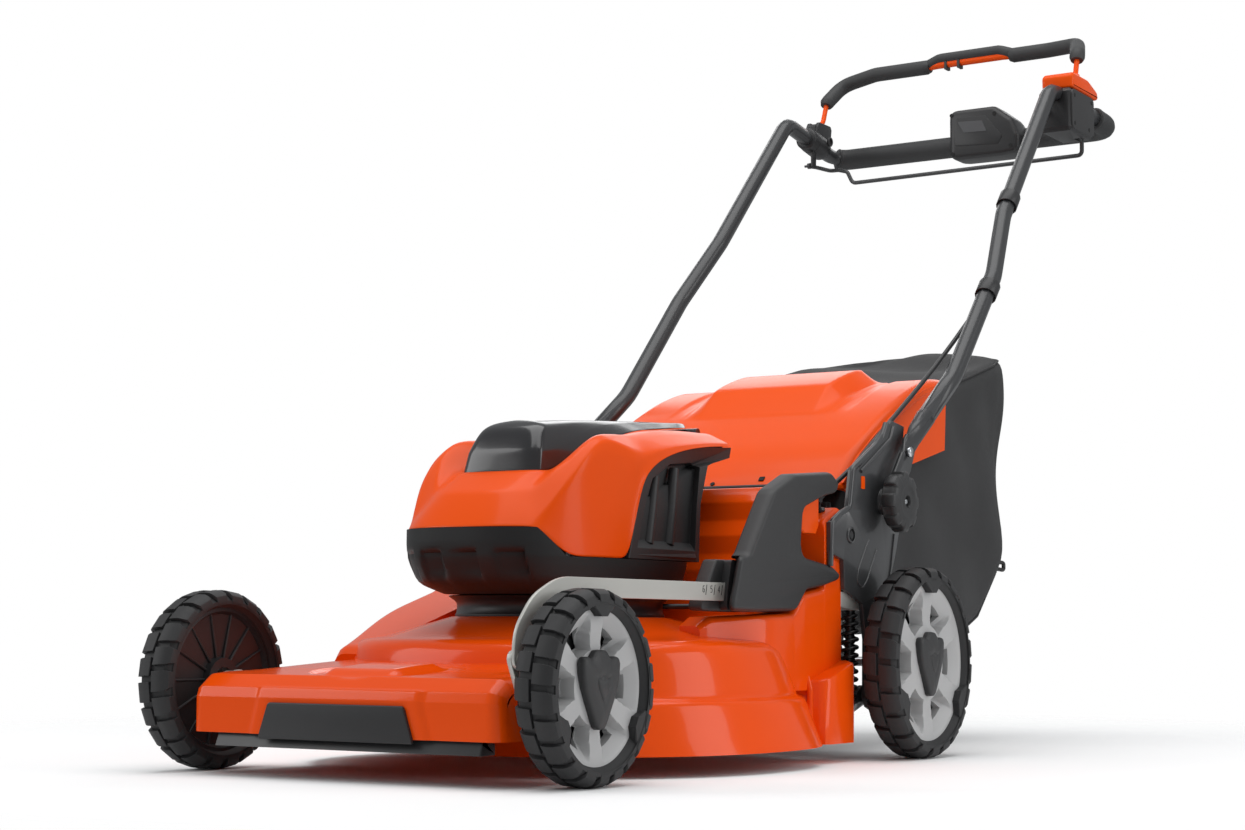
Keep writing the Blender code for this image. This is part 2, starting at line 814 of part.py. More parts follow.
def make_motor():
    base_z = PLINTH_Z
    top_z = base_z + PLINTH_H
    profile = [
        (SHAFT_HOLE_R, base_z),
        (PLINTH_R, base_z),
        (PLINTH_R, top_z - 0.003),
        (PLINTH_R - 0.003, top_z),
        (SHAFT_HOLE_R, top_z),
    ]
    keep(moved(turned(profile, 32), SPINDLE), "motor_base", BLACK_PLASTIC)
    low = top_z + GAP
    high = low + MOTOR_CAN_H
    ring = [(ROTOR_R + 0.001, low), (MOTOR_CAN_R, low), (MOTOR_CAN_R, high), (ROTOR_R + 0.001, high)]
    keep(moved(turned(ring, 24), SPINDLE), "motor_stator", MOTOR_METAL)
    foot = BLADE_Z + BLADE_T + 0.0045 + GAP
    rotor = [
        (0.0, foot),
        (MOTOR_SHAFT_R, foot),
        (MOTOR_SHAFT_R, low + 0.002),
        (ROTOR_R, low + 0.002),
        (ROTOR_R, high - 0.002),
        (0.0, high - 0.002),
    ]
    keep(moved(turned(rotor, 24), SPINDLE), "motor_rotor", MOTOR_METAL, "blade_drive")
    seat = BLADE_Z + BLADE_T + GAP
    collar = MOTOR_SHAFT_R + GAP
    bolt_r = 0.006
    hub = [
        (0.0, foot - GAP),
        (collar, foot - GAP),
        (collar, foot + 0.030),
        (0.020, foot + 0.030),
        (0.026, seat + 0.006),
        (0.026, seat),
        (bolt_r, seat),
        (bolt_r, BLADE_Z - GAP),
        (0.013, BLADE_Z - GAP),
        (0.013, BLADE_Z - 0.010),
        (0.0, BLADE_Z - 0.010),
    ]
    keep(moved(turned(hub, 20), SPINDLE), "blade_hub", ZINC, "blade_drive")
    half = 0.5 * BLADE_LENGTH
    edge = 0.5 * BLADE_WIDTH
    outline = [
        (-half, -edge),
        (-0.55 * half, -edge),
        (-0.30 * half, -0.8 * edge),
        (0.55 * half, -0.8 * edge),
        (half, -0.6 * edge),
        (half, edge),
        (0.55 * half, edge),
        (0.30 * half, 0.8 * edge),
        (-0.55 * half, 0.8 * edge),
        (-half, 0.6 * edge),
    ]
    blade = plate(outline, BLADE_Z, BLADE_Z + BLADE_T, "XY")
    hole = rod((0.0, 0.0, BLADE_Z - 0.01), (0.0, 0.0, BLADE_Z + 0.01), bolt_r + GAP, 16)
    keep(moved(cut(blade, hole), SPINDLE), "blade", BLADE_STEEL, "blade_drive")


# The motor housing in rings: height, front inset, rear reach, side inset, front and rear power, inner drop
HOUSING_RINGS = (
    (0.0000, 0.060, -0.005, 0.028, 3.0, 4.0, HOUSING_WALL),
    (0.0145, 0.020, 0.016, 0.008, 3.0, 6.0, 0.0),
    (0.0415, 0.004, 0.022, 0.002, 3.0, 6.0, 0.0),
    (0.0735, 0.004, 0.032, 0.002, 3.0, 6.0, 0.0),
    (0.0995, 0.030, 0.040, 0.003, 3.6, 6.0, 0.0),
    (0.1425, 0.078, 0.058, 0.005, 7.0, 8.0, 0.0),
    (0.1700, 0.096, 0.068, 0.012, 7.0, 8.0, 0.0),
    (0.1780, 0.102, 0.140, 0.017, 6.0, 10.0, 0.0),
    (0.1950, 0.128, 0.147, 0.034, 3.6, 8.0, -0.003),
    (0.2075, 0.170, 0.143, 0.070, 3.0, 4.0, -0.003),
)


def housing(inset):
    rings = []
    for up, front, rear, side, power, rear_power, drop in HOUSING_RINGS:
        outline = egg(
            HOUSING_HALF - side,
            SPINDLE_Y - HOUSING_FRONT_Y - front,
            HOUSING_REAR_Y + rear - SPINDLE_Y,
            SPINDLE_Y,
            power,
            HOUSING_POINTS,
            inset,
            rear_power,
        )
        rings.append(at_height(outline, HOUSING_BOTTOM + up + (drop if inset else 0.0)))
    return loft(rings)


def raised(points, dy=0.0, dz=0.0):
    """Outline points given as (y, height over the housing's foot)."""
    return [(y + dy, HOUSING_BOTTOM + up + dz) for y, up in points]


def lower_cover_prism(gap):
    split = HOUSING_SPLIT_UP - gap
    front = split + 0.0325
    outline = [(-0.1, -0.02), (0.9, -0.02), (0.9, split), (0.151, split), (0.128, front), (-0.1, front)]
    return plate(raised(outline), -0.3, 0.3)


def column_prism(gap):
    outline = [
        (0.292 - gap, HOUSING_SPLIT_UP - gap),
        (0.340 - gap, 0.1500 + gap),
        (0.372 - gap, 0.1740 + gap),
        (0.400, 0.1780 + gap),
        (0.620, 0.1740 + gap),
        (0.620, HOUSING_SPLIT_UP - gap),
    ]
    return plate(raised(outline), 0.086 - gap, 0.3)


def make_housing():
    shell = cut(housing(0.0), housing(HOUSING_WALL))
    can = MOTOR_CAN_R + 0.001
    shell = cut(shell, rod(SPINDLE + Vector((0.0, 0.0, 0.19)), SPINDLE + Vector((0.0, 0.0, 0.22)), can, 32))
    lower = common(copy_of(shell), lower_cover_prism(0.0))
    keep(lower, "motor_lower_cover", DARK_PLASTIC)
    upper = cut(copy_of(shell), lower_cover_prism(-GAP), column_prism(GAP), to_right(column_prism(GAP)))
    column = cut(common(shell, column_prism(0.0)), lower_cover_prism(-GAP))
    keep(mirrored(column), "vent_column_right", DARK_PLASTIC)
    keep(column, "vent_column_left", DARK_PLASTIC)
    outline = [(0.120, 0.1442), (0.120, 0.26), (0.556, 0.26), (0.556, 0.1909), (0.2466, 0.1879)]
    outline += [(0.2186, 0.1570), (0.2126, 0.1443)]
    upper = cut(upper, plate(raised(outline), -LID_HALF - GAP, LID_HALF + GAP))
    y, z = LID_HINGE.y, LID_HINGE.z
    bore = LID_PIN_R + GAP
    for sign in (1.0, -1.0):
        ear = plate(stadium((y - 0.018, z - 0.020), (y, z), 0.007, 0.0055), LID_EAR_X, LID_EAR_X + LID_EAR_T)
        if sign < 0.0:
            ear = to_right(ear)
        upper = unite(upper, ear)
    upper = cut(upper, across(-0.06, 0.06, y, z, bore, 12))
    keep(upper, "motor_upper_cover", ORANGE_PLASTIC)


def make_lid():
    top = [
        (0.196, 0.1445),
        (0.205, 0.1715),
        (0.222, 0.1965),
        (0.245, 0.2075),
        (0.394, 0.2155),
        (0.533, 0.2245),
        (0.600, 0.2300),
        (0.616, 0.2265),
        (0.618, 0.2205),
    ]
    solid = plate(raised([(0.196, 0.08)] + top + [(0.618, 0.08)]), -LID_HALF, LID_HALF)
    solid = bevelled(solid, 0.006, 1, 60.0)
    for sign in (1.0, -1.0):
        tail = plate(
            [(sign * LID_HALF, LID_HINGE_Y - 0.012), (sign * 0.2, LID_HINGE_Y), (sign * 0.2, 0.7), (sign * 0.020, 0.7)],
            HOUSING_BOTTOM + 0.2203,
            HOUSING_BOTTOM + 0.3,
            "XY",
        )
        solid = cut(solid, tail)
    under = [(0.10, 0.1448), (0.212, 0.1450), (0.218, 0.1575), (0.246, 0.1885), (0.552, 0.1915)]
    under += [(0.552, 0.2222), (0.70, 0.2222), (0.70, 0.0), (0.10, 0.0)]
    solid = cut(solid, plate(raised(under), -0.2, 0.2))
    inside = [(y + 0.9 * LID_T, up - 0.8 * LID_T) for y, up in top[:4]]
    inside += [(y, up - LID_T) for y, up in top[4:6]]
    inside += [(0.552 - LID_T, 0.2250 - LID_T), (0.552 - LID_T, 0.10), (0.2 + LID_T, 0.10)]
    solid = cut(solid, plate(raised(inside), -LID_HALF + 0.004, LID_HALF - 0.004))
    y, z = LID_HINGE.y, LID_HINGE.z
    barrel = across(-LID_EAR_X + GAP, LID_EAR_X - GAP, y, z, LID_BARREL_R, 16)
    pin = across(-LID_EAR_X - LID_EAR_T, LID_EAR_X + LID_EAR_T, y, z, LID_PIN_R, 12)
    keep(unite(solid, barrel, pin), "battery_lid", LID_PLASTIC, "lid_hinge")


def make_batteries():
    wall = BAY_WALL
    half = 0.5 * PACK_WIDTH + GAP
    floor = HOUSING_BOTTOM + MOTOR_CAN_H + GAP
    seat = floor + wall
    front = PACK_FRONT_Y - GAP
    rear = PACK_FRONT_Y + 2.0 * PACK_LENGTH + PACK_SPACE + GAP
    top = seat + PACK_HEIGHT + 0.004
    bay = box((-half - wall, front - wall, floor), (half + wall, rear + wall, top))
    bay = cut(bay, box((-half, front, seat), (half, rear, top + 0.01)))
    keep(bay, "battery_bay", BLACK_PLASTIC)
    for index, name in enumerate(("battery_front", "battery_rear")):
        y = PACK_FRONT_Y + index * (PACK_LENGTH + PACK_SPACE)
        half_pack = 0.5 * PACK_WIDTH
        low = seat + GAP
        pack = box((-half_pack, y, low), (half_pack, y + PACK_LENGTH, low + PACK_HEIGHT))
        keep(bevelled(pack, 0.004, 1), name, DARK_PLASTIC)


def make_wheel(name, sign, x, axle, diameter, rim_r, body, shaft_from=None):
    """A tyre, its disc and its hub cap, and on a driven wheel the half shaft that turns it."""
    outer = 0.5 * diameter
    half = 0.5 * TYRE_WIDTH
    reach = 1.0 / math.cos(math.pi / TYRE_SIDES)
    phase = math.pi / TYRE_SIDES
    place = Vector((sign * x, axle.y, axle.z))
    rim_half = half - 0.003
    tyre = [
        (rim_r + GAP, -half + 0.001),
        (outer - TREAD_DROP, -half),
        (outer, -half + TYRE_SHOULDER),
        (outer, half - TYRE_SHOULDER),
        (outer - TREAD_DROP, half),
        (rim_r + GAP, half - 0.001),
    ]
    shape = turned([(r * reach, h) for r, h in tyre], TYRE_SIDES, phase)
    keep(moved(lay_along_x(shape, sign), place), name + "_tyre", TYRE_RUBBER, body)
    bore = AXLE_R + GAP
    disc = [
        (bore, -rim_half),
        (HUB_R, -rim_half),
        (HUB_R, 0.004),
        (rim_r - RIM_WALL, 0.004),
        (rim_r - RIM_WALL, -rim_half),
        (rim_r, -rim_half),
        (rim_r, rim_half),
        (rim_r - RIM_WALL, rim_half),
        (rim_r - 2.0 * RIM_WALL, 0.012),
        (bore, 0.5 * HUB_REACH + 0.006),
    ]
    shape = turned([(r * reach, h) for r, h in disc], TYRE_SIDES, phase)
    for index in range(SPOKES):
        middle = 2.0 * math.pi * (index + 0.5) / SPOKES
        window = []
        for r, spread in ((0.46, -0.18), (0.80, -0.20), (0.80, 0.20), (0.46, 0.18)):
            angle = middle + spread
            window.append((r * rim_r * math.cos(angle), r * rim_r * math.sin(angle)))
        shape = cut(shape, plate(window, -0.01, 0.03, "XY"))
    keep(moved(lay_along_x(shape, sign), place), name + "_disc", RIM_PLASTIC, body)
    cap = []
    for index in range(18):
        angle = 2.0 * math.pi * index / 18
        r = HUB_CAP_R * (0.82 + 0.18 * math.cos(3.0 * angle) * sign)
        cap.append((r * math.cos(angle), r * math.sin(angle)))
    low = 0.5 * HUB_REACH + 0.006 + GAP
    shape = plate(cap, low, low + HUB_CAP_T, "XY")
    pocket = rod((0.0, 0.0, low - 0.01), (0.0, 0.0, low + 0.004), AXLE_R + 0.002, 12)
    shape = cut(shape, pocket)
    keep(moved(lay_along_x(shape, sign), place), name + "_hub_cap", DARK_PLASTIC, body)
    if shaft_from is not None:
        shaft = across(sign * shaft_from, sign * (x + 0.014), axle.y, axle.z, AXLE_R, 12)
        keep(shaft, name + "_shaft", ZINC, body)


def bracketed(points, x_low, x_high, sign):
    """A plate in YZ on the left side, or its mirror image on the right."""
    shape = plate(points, x_low, x_high)
    return to_right(shape) if sign < 0.0 else shape


def make_front_axle():
    y, z = FRONT_PIVOT.y, FRONT_PIVOT.z
    out = FRONT_ARM_OUT
    frame = across(-out + 0.001, out - 0.001, y, z, PIVOT_R, 16)
    hub_in = FRONT_WHEEL_X - 0.5 * TYRE_WIDTH + 0.003 - GAP
    for sign in (1.0, -1.0):
        outline = stadium((y, z), (FRONT_AXLE.y, FRONT_AXLE.z), ARM_EYE_R, ARM_EYE_R - 0.002, 6)
        frame = unite(frame, bracketed(outline, out - ARM_T, out, sign))
        stub = across(sign * (out - 0.002), sign * (FRONT_WHEEL_X + 0.014), 0.0, FRONT_AXLE.z, AXLE_R, 12)
        collar = across(sign * (out - 0.002), sign * hub_in, 0.0, FRONT_AXLE.z, AXLE_R + 0.004, 12)
        frame = unite(frame, unite(collar, stub))
    outline = stadium((y, z), (FRONT_PIN.y, FRONT_PIN.z), ARM_EYE_R - 0.001, 0.009, 6)
    frame = unite(frame, plate(outline, out - ARM_T + 0.0005, out - 0.0005))
    pin_end = LINK_X + 0.5 * LINK_T + 0.002
    frame = unite(frame, across(out - 0.002, pin_end, FRONT_PIN.y, FRONT_PIN.z, PIN_R, 12))
    keep(frame, "front_axle_frame", LINK_STEEL, "front_axle")


def make_height_link():
    """The flat bar that joins the two axles, hooked down at both ends."""
    front = FRONT_PIN
    path = [
        (front.y, front.z),
        (front.y + 0.002, front.z + 0.018),
        (front.y + 0.009, front.z + 0.037),
        (front.y + 0.024, front.z + 0.054),
        (front.y + 0.052, LINK_Z - 0.003),
        (front.y + 0.090, LINK_Z),
        (REAR_PIN.y - 0.034, LINK_Z),
        (REAR_PIN.y - 0.012, LINK_Z - 0.012),
        (REAR_PIN.y - 0.002, LINK_Z - 0.032),
        (REAR_PIN.y, REAR_PIN.z),
    ]
    low = LINK_X - 0.5 * LINK_T
    high = LINK_X + 0.5 * LINK_T
    bar = plate(strip(path, LINK_H), low, high)
    for pin in (FRONT_PIN, REAR_PIN):
        bar = cut(bar, across(low - 0.01, high + 0.01, pin.y, pin.z, PIN_R + GAP, 12))
    keep(bar, "height_link", LINK_STEEL, "link")


def spring_ends():
    """The spring's upper and lower ends, under its bracket and over its lug."""
    upper = Vector((SPRING_X, SPRING_TOP_Y, SPRING_TOP_Z - GAP))
    lug = REAR_PIVOT + Vector((SPRING_X, SPRING_LUG[0], SPRING_LUG[1] + GAP))
    return upper, lug


def make_rear_axle():
    y, z = REAR_PIVOT.y, REAR_PIVOT.z
    out = REAR_ARM_OUT
    frame = across(-out + 0.001, out - 0.001, y, z, PIVOT_R, 16)
    for sign in (1.0, -1.0):
        outline = stadium((y, z), (REAR_AXLE.y, REAR_AXLE.z), ARM_EYE_R, ARM_EYE_R - 0.002, 6)
        frame = unite(frame, bracketed(outline, out - ARM_T, out, sign))
    frame = cut(frame, across(-0.4, 0.4, REAR_AXLE.y, REAR_AXLE.z, AXLE_R + GAP, 12))
    outline = stadium((y, z), (REAR_PIN.y, REAR_PIN.z), ARM_EYE_R, 0.009, 6)
    lever_out = FRONT_ARM_OUT
    frame = unite(frame, plate(outline, lever_out - ARM_T, lever_out))
    pin_end = LINK_X + 0.5 * LINK_T + 0.002
    frame = unite(frame, across(lever_out - 0.002, pin_end, REAR_PIN.y, REAR_PIN.z, PIN_R, 12))
    low = spring_ends()[1]
    outline = stadium((y, z), (low.y, low.z - 0.010), 0.012, 0.008, 5)
    frame = unite(frame, plate(outline, SPRING_X - 0.004, SPRING_X + 0.004))
    reach = SPRING_R + SPRING_WIRE_R
    seat = box((SPRING_X - reach, low.y - reach, low.z - 0.006), (SPRING_X + reach, low.y + reach, low.z - GAP))
    frame = unite(frame, seat)
    keep(frame, "rear_axle_frame", DARK_PLASTIC, "rear_axle")
    outline = stadium((y, z), (REAR_AXLE.y, REAR_AXLE.z), 0.019, 0.033, 8)
    gear = bevelled(plate(outline, -0.030, 0.030), 0.003, 1, 50.0)
    gear = cut(gear, across(-0.1, 0.1, y, z, PIVOT_R + GAP, 16))
    gear = cut(gear, across(-0.1, 0.1, REAR_AXLE.y, REAR_AXLE.z, AXLE_R + GAP, 12))
    keep(gear, "drive_gearbox", BLACK_PLASTIC, "rear_axle")


def make_helper_spring():
    """The coil spring that helps lift the rear of the deck."""
    upper, lower = spring_ends()
    along = (lower - upper).normalized()
    side = Vector((1.0, 0.0, 0.0))
    other = along.cross(side)
    wire = 2.0 * SPRING_WIRE_R
    length = (lower - upper).length - 2.0 * wire
    points = [upper + side * SPRING_R]
    count = SPRING_COILS * 8
    for index in range(count + 1):
        angle = 2.0 * math.pi * index / 8.0
        radial = side * math.cos(angle) + other * math.sin(angle)
        points.append(upper + along * (wire + length * index / count) + radial * SPRING_R)
    points.append(lower + side * SPRING_R)
    gap = min(
        (points[a] - points[b]).length - wire
        for a in range(1, count + 1)
        for b in range(a + 6, min(a + 11, count + 2))
    )
    print("helper spring: least gap between its turns", round(gap * 1000.0, 2), "mm")
    keep(tube(points, SPRING_WIRE_R, 1), "helper_spring", SPRING_STEEL, angle=80.0)


def make_brackets():
    """The plates that carry the handle's fold axis and the rear axle, one on each side."""
    y, z = REAR_PIVOT.y, REAR_PIVOT.z
    outline = [
        (BOX_STEP_Y + 0.005, 0.256),
        (BOX_STEP_Y + 0.005, 0.294),
        (BOX_REAR_Y + 0.008, 0.312),
        (BOX_REAR_Y + 0.020, 0.362),
        (BOX_REAR_Y + 0.040, 0.366),
        (TUBE_BOLT_Y - 0.020, TUBE_BOLT_Z + 0.040),
        (TUBE_BOLT_Y + 0.017, TUBE_BOLT_Z + 0.035),
        (TUBE_BOLT_Y + 0.009, TUBE_BOLT_Z - 0.014),
        (TUBE_BOLT_Y + 0.004, TUBE_BOLT_Z - 0.094),
        (TUBE_BOLT_Y - 0.010, TUBE_BOLT_Z - 0.132),
        (y + 0.048, z + 0.135),
        (y + 0.037, z + 0.090),
        (y + 0.023, z + 0.070),
        (y + 0.0185, z - 0.004),
        (y + 0.012, z - 0.015),
        (y, z - 0.019),
        (y - 0.012, z - 0.015),
        (y - 0.0185, z - 0.004),
        (y - 0.017, z + 0.070),
        (y - 0.027, z + 0.115),
        (BOX_REAR_Y - 0.001, 0.212),
        (BOX_REAR_Y - 0.004, 0.248),
    ]
    bracket = plate(outline, BRACKET_X, BRACKET_OUT)
    boss = across(BRACKET_OUT - 0.002, FLAT_LOW_X - GAP, FOLD_Y, FOLD_Z, 0.018)
    bracket = unite(bracket, boss)
    bracket = cut(bracket, across(0.2, 0.3, FOLD_Y, FOLD_Z, FOLD_BOLT_R + GAP, 16))
    bracket = cut(bracket, across(0.2, 0.3, y, z, PIVOT_R + GAP, 16))
    keep(mirrored(bracket), "side_bracket_right", DARK_PLASTIC)
    keep(bracket, "side_bracket_left", DARK_PLASTIC)
    low, high = SPRING_TOP_Z, SPRING_TOP_Z + 0.023
    outline = [
        (BOX_REAR_Y + GAP, low + 0.004),
        (SPRING_TOP_Y - 0.014, low),
        (SPRING_TOP_Y + 0.014, low),
        (SPRING_TOP_Y + 0.028, low + 0.010),
        (SPRING_TOP_Y + 0.012, high),
        (BOX_REAR_Y + GAP, high),
    ]
    keep(plate(outline, LINK_X + 0.5 * LINK_T + 0.002, BRACKET_X - GAP), "spring_bracket", LINK_STEEL)


def make_grip():
    """The lifting grip beside the height scale, with a channel for the sliding bar."""
    outline = [
        (0.290, 0.1825),
        (0.308, 0.214),
        (0.327, 0.242),
        (0.353, 0.247),
        (0.413, 0.326),
        (0.468, 0.349),
        (0.563, 0.357),
        (0.584, 0.345),
        (0.578, 0.331),
        (0.545, 0.325),
        (0.488, 0.307),
        (0.480, 0.251),
        (0.565, 0.241),
        (0.585, 0.232),
        (0.583, 0.2225),
        (0.5465, 0.2150),
        (0.4965, 0.2085),
        (0.4700, 0.1835),
        (0.374, 0.1815),
    ]
    radii = [0, 0.01, 0.02, 0.02, 0.05, 0.02, 0.012, 0.007, 0.006, 0.02, 0.02, 0.02, 0.012, 0.004, 0.003]
    radii += [0, 0, 0, 0]
    outer = plate(rounded(outline, radii, 2), GRIP_IN, GRIP_OUT)
    base = outline[:3] + [(0.353, 0.242), (0.440, 0.238), (0.546, 0.231)] + outline[15:]
    base = plate(offset(base, -0.0006), GRIP_BASE_IN, GRIP_IN + 0.010)
    grip = unite(outer, base)
    slot = 0.5 * LINK_T + 0.002
    high = LINK_Z + 0.5 * LINK_H + LINK_LIFT + 0.003
    grip = cut(grip, box((LINK_X - slot, 0.25, 0.10), (LINK_X + slot, 0.62, high)))
    toe = [(0.25, 0.10), (0.306, 0.10), (0.3060, 0.170), (0.331, 0.2145), (0.336, 0.26), (0.25, 0.26)]
    grip = cut(grip, plate(toe, LINK_X - slot + 0.001, 0.3))
    grip = cut(grip, box((0.1, BOX_STEP_Y - GAP, 0.1), (BOX_OUTER_X + GAP, 0.7, 0.30)))
    x_in, x_out = TRIGGER_X - 0.5 * TRIGGER_T, TRIGGER_X + 0.5 * TRIGGER_T
    recess = box((x_in - GAP, 0.496, 0.295), (x_out + GAP, 0.544, 0.337))
    keep(cut(grip, recess), "height_grip", DARK_PLASTIC)
    outline = [(0.497, 0.283), (0.497, 0.331), (0.543, 0.331), (0.543, 0.290), (0.535, 0.279), (0.503, 0.279)]
    trigger = bevelled(plate(outline, x_in, x_out), 0.0015, 1, 50.0)
    keep(trigger, "height_trigger", ORANGE_PLASTIC, "trigger_slide")


def make_cable_holder():
    """The stud on the box that holds the handle's cable, and the lead that runs on to the motor."""
    foot = GROMMET + GROMMET_UP * GAP
    stud = rod(foot, foot + GROMMET_UP * 0.003, 0.007, 14)
    eye = cable_eye()
    post = rod(foot + GROMMET_UP * 0.002, eye, 0.0030, 10)
    ring = rod(eye - EYE_ALONG * 0.004, eye + EYE_ALONG * 0.004, 0.0050, 12)
    keep(unite(stud, post, ring), "cable_grommet", BLACK_PLASTIC)
    angle = math.radians(21.0)
    radial = Vector((math.cos(angle), math.sin(angle), 0.0))
    end = SPINDLE + radial * (PLINTH_R + GAP) + Vector((0.0, 0.0, PLINTH_Z + 0.0125))
    start = eye - EYE_ALONG * (0.004 + GAP)
    knots = [
        start,
        start - EYE_ALONG * 0.006,
        (0.2130, 0.551, 0.308),
        (0.2050, 0.533, 0.288),
        (0.1960, 0.514, 0.255),
        (0.1945, 0.490, 0.223),
        (0.1945, 0.466, 0.201),
        (0.1880, 0.440, 0.1905),
        (0.1650, 0.412, 0.1885),
        end + radial * 0.012,
        end,
    ]
    keep(tube(smooth_route(knots, 0.016), CABLE_R, 1), "motor_lead", BLACK_PLASTIC, angle=80.0)


def cable_eye():
    return GROMMET + GROMMET_UP * 0.0135


FLAP_PROFILE = (
    (0.002, 0.0020),
    (0.024, 0.0230),
    (0.056, 0.0510),
    (0.100, 0.0790),
    (0.156, 0.1110),
    (0.218, 0.1400),
    (0.262, 0.1560),
    (0.300, 0.1660),
    (0.332, 0.1690),
)


def flap_hump(x, y):
    """How far the flap's middle is raised over its profile."""
    side = max(0.0, min(1.0, (0.115 - abs(x)) / 0.025))
    front = max(0.0, min(1.0, (y - 0.156) / 0.062))
    back = max(0.0, min(1.0, (0.332 - y) / 0.030))
    return 0.022 * side * front * back


def make_flap():
    """The hinged cover behind the deck that lies on the bag's front."""
    edge = FLAP_HALF - 0.0195
    xs = [-FLAP_HALF, -edge, -0.115, -0.090, 0.090, 0.115, edge, FLAP_HALF]
    bm = bmesh.new()
    rows = []
    for dy, dz in FLAP_PROFILE:
        row = []
        for x in xs:
            fall = 0.005 * (abs(x) / FLAP_HALF) ** 6
            z = FLAP_HINGE.z + dz + flap_hump(x, dy) - fall * min(1.0, dy / 0.1)
            row.append(bm.verts.new((x, FLAP_HINGE.y + dy, z)))
        rows.append(row)
    for low, high in zip(rows, rows[1:]):
        for index in range(len(xs) - 1):
            bm.faces.new((low[index], low[index + 1], high[index + 1], high[index]))
    mesh = bpy.data.meshes.new("flap")
    bm.to_mesh(mesh)
    bm.free()
    obj = bpy.data.objects.new("flap", mesh)
    CUTTERS.objects.link(obj)
    solid = obj.modifiers.new("thickness", "SOLIDIFY")
    solid.thickness = FLAP_T
    solid.offset = -1.0
    flap = bake(obj)
    y, z = FLAP_HINGE.y, FLAP_HINGE.z
    flap = unite(flap, across(-FLAP_HALF + 0.003, FLAP_HALF - 0.003, y, z, FLAP_BARREL_R, 16))
    wing = [(dy + 0.0005, dz - 0.0015 - 0.005 * min(1.0, dy / 0.1)) for dy, dz in FLAP_PROFILE[1:]]
    wing[-1] = (wing[-1][0] - 0.002, wing[-1][1])
    wing += [(0.328, 0.122), (0.324, 0.067), (0.190, 0.034), (0.060, 0.006), (0.014, -0.002)]
    outline = [(y + dy, z + dz) for dy, dz in wing]
    side = plate(outline, FLAP_HALF - FLAP_T - 0.001, FLAP_HALF - 0.001)
    flap = unite(flap, mirrored(side), side)
    keep(flap, "rear_flap", ORANGE_PLASTIC, "flap_hinge", 50.0)


def offset(points, distance):
    """The outline moved outwards, or inwards by a distance under zero, with its corners kept."""
    corners = [Vector(point) for point in points]
    area = sum(a.x * b.y - b.x * a.y for a, b in zip(corners, corners[1:] + corners[:1]))
    turn = 1.0 if area > 0.0 else -1.0
    out = []
    for index, corner in enumerate(corners):
        before = (corner - corners[index - 1]).normalized()
        after = (corners[(index + 1) % len(corners)] - corner).normalized()
        normal = Vector((before.y + after.y, -before.x - after.x)).normalized() * turn
        reach = distance / max(0.3, normal.dot(Vector((after.y, -after.x)) * turn))
        out.append(tuple(corner + normal * reach))
    return out


def make_bag():
    y = BAG_FRONT_Y
    side = [
        (y, 0.160),
        (y, 0.326),
        (0.684, 0.346),
        (0.712, 0.378),
        (0.760, 0.408),
        (0.816, 0.438),
        (0.876, 0.466),
        (0.950, 0.490),
        (1.007, 0.510),
        (1.252, 0.578),
        (1.352, 0.600),
        (1.342, 0.430),
        (1.226, 0.254),
        (1.142, 0.174),
        (1.106, 0.160),
    ]
    plan = [
        (-BAG_HALF, y - 0.02),
        (BAG_HALF, y - 0.02),
        (BAG_HALF, 1.212),
        (BAG_HALF - 0.012, 1.257),
        (BAG_HALF - 0.090, 1.334),
        (0.0, 1.357),
        (-BAG_HALF + 0.090, 1.334),
        (-BAG_HALF + 0.012, 1.257),
        (-BAG_HALF, 1.212),
    ]
    bag = common(plate(side, -0.3, 0.3), plate(plan, 0.0, 0.7, "XY"))
    hollow = common(plate(offset(side, -BAG_WALL), -0.3, 0.3), plate(offset(plan, -BAG_WALL), 0.0, 0.7, "XY"))
    mouth = box((-BAG_MOUTH, y - 0.02, 0.172), (BAG_MOUTH, y + 0.02, 0.316))
    keep(cut(bag, hollow, mouth), "grass_bag", BAG_FABRIC, "bag_slide")
    low, high = CHUTE_REAR_Y + GAP, y - GAP
    frame = box((-BAG_HALF + 0.002, low, 0.160), (BAG_HALF - 0.002, high, 0.326))
    window = box((-BAG_MOUTH, low - 0.01, 0.172), (BAG_MOUTH, high + 0.01, 0.316))
    keep(cut(frame, window), "bag_frame", BLACK_PLASTIC, "bag_slide")


def handle_path():
    """The round tube's middle line from the left fold to the right, with every bend rounded."""
    side = [
        (TUBE_LOW_X, TUBE_BOLT_Y + 0.052, TUBE_BOLT_Z + 0.047),
        (TUBE_LOW_X - 0.0005, 0.895, 0.507),
        (TUBE_LOW_X - 0.0025, 1.043, 0.668),
        (TUBE_MID_X, 1.131, 0.772),
        (TUBE_TOP_X, TUBE_TOP_Y, TUBE_TOP_Z),
        (CORNER_X, GRIP_Y, GRIP_Z),
    ]
    radii = [0.0, 0.120, 0.100, 0.100, 0.035, 0.032]
    both = side + [(-x, y, z) for x, y, z in reversed(side)]
    return bent_path(both, radii + radii[::-1])


def handle_bore(gap=GAP):
    return tube(handle_path(), TUBE_R + gap)


def oval_ring(centre, along, half_x, half_w, count=12):
    along = Vector(along).normalized()
    across_x = Vector((1.0, 0.0, 0.0))
    upward = along.cross(across_x).normalized()
    ring = []
    for index in range(count):
        angle = 2.0 * math.pi * (index + 0.5) / count
        c = signed_power(math.cos(angle), 0.7) * half_x
        s = signed_power(math.sin(angle), 0.7) * half_w
        ring.append(Vector(centre) + across_x * c + upward * s)
    return ring


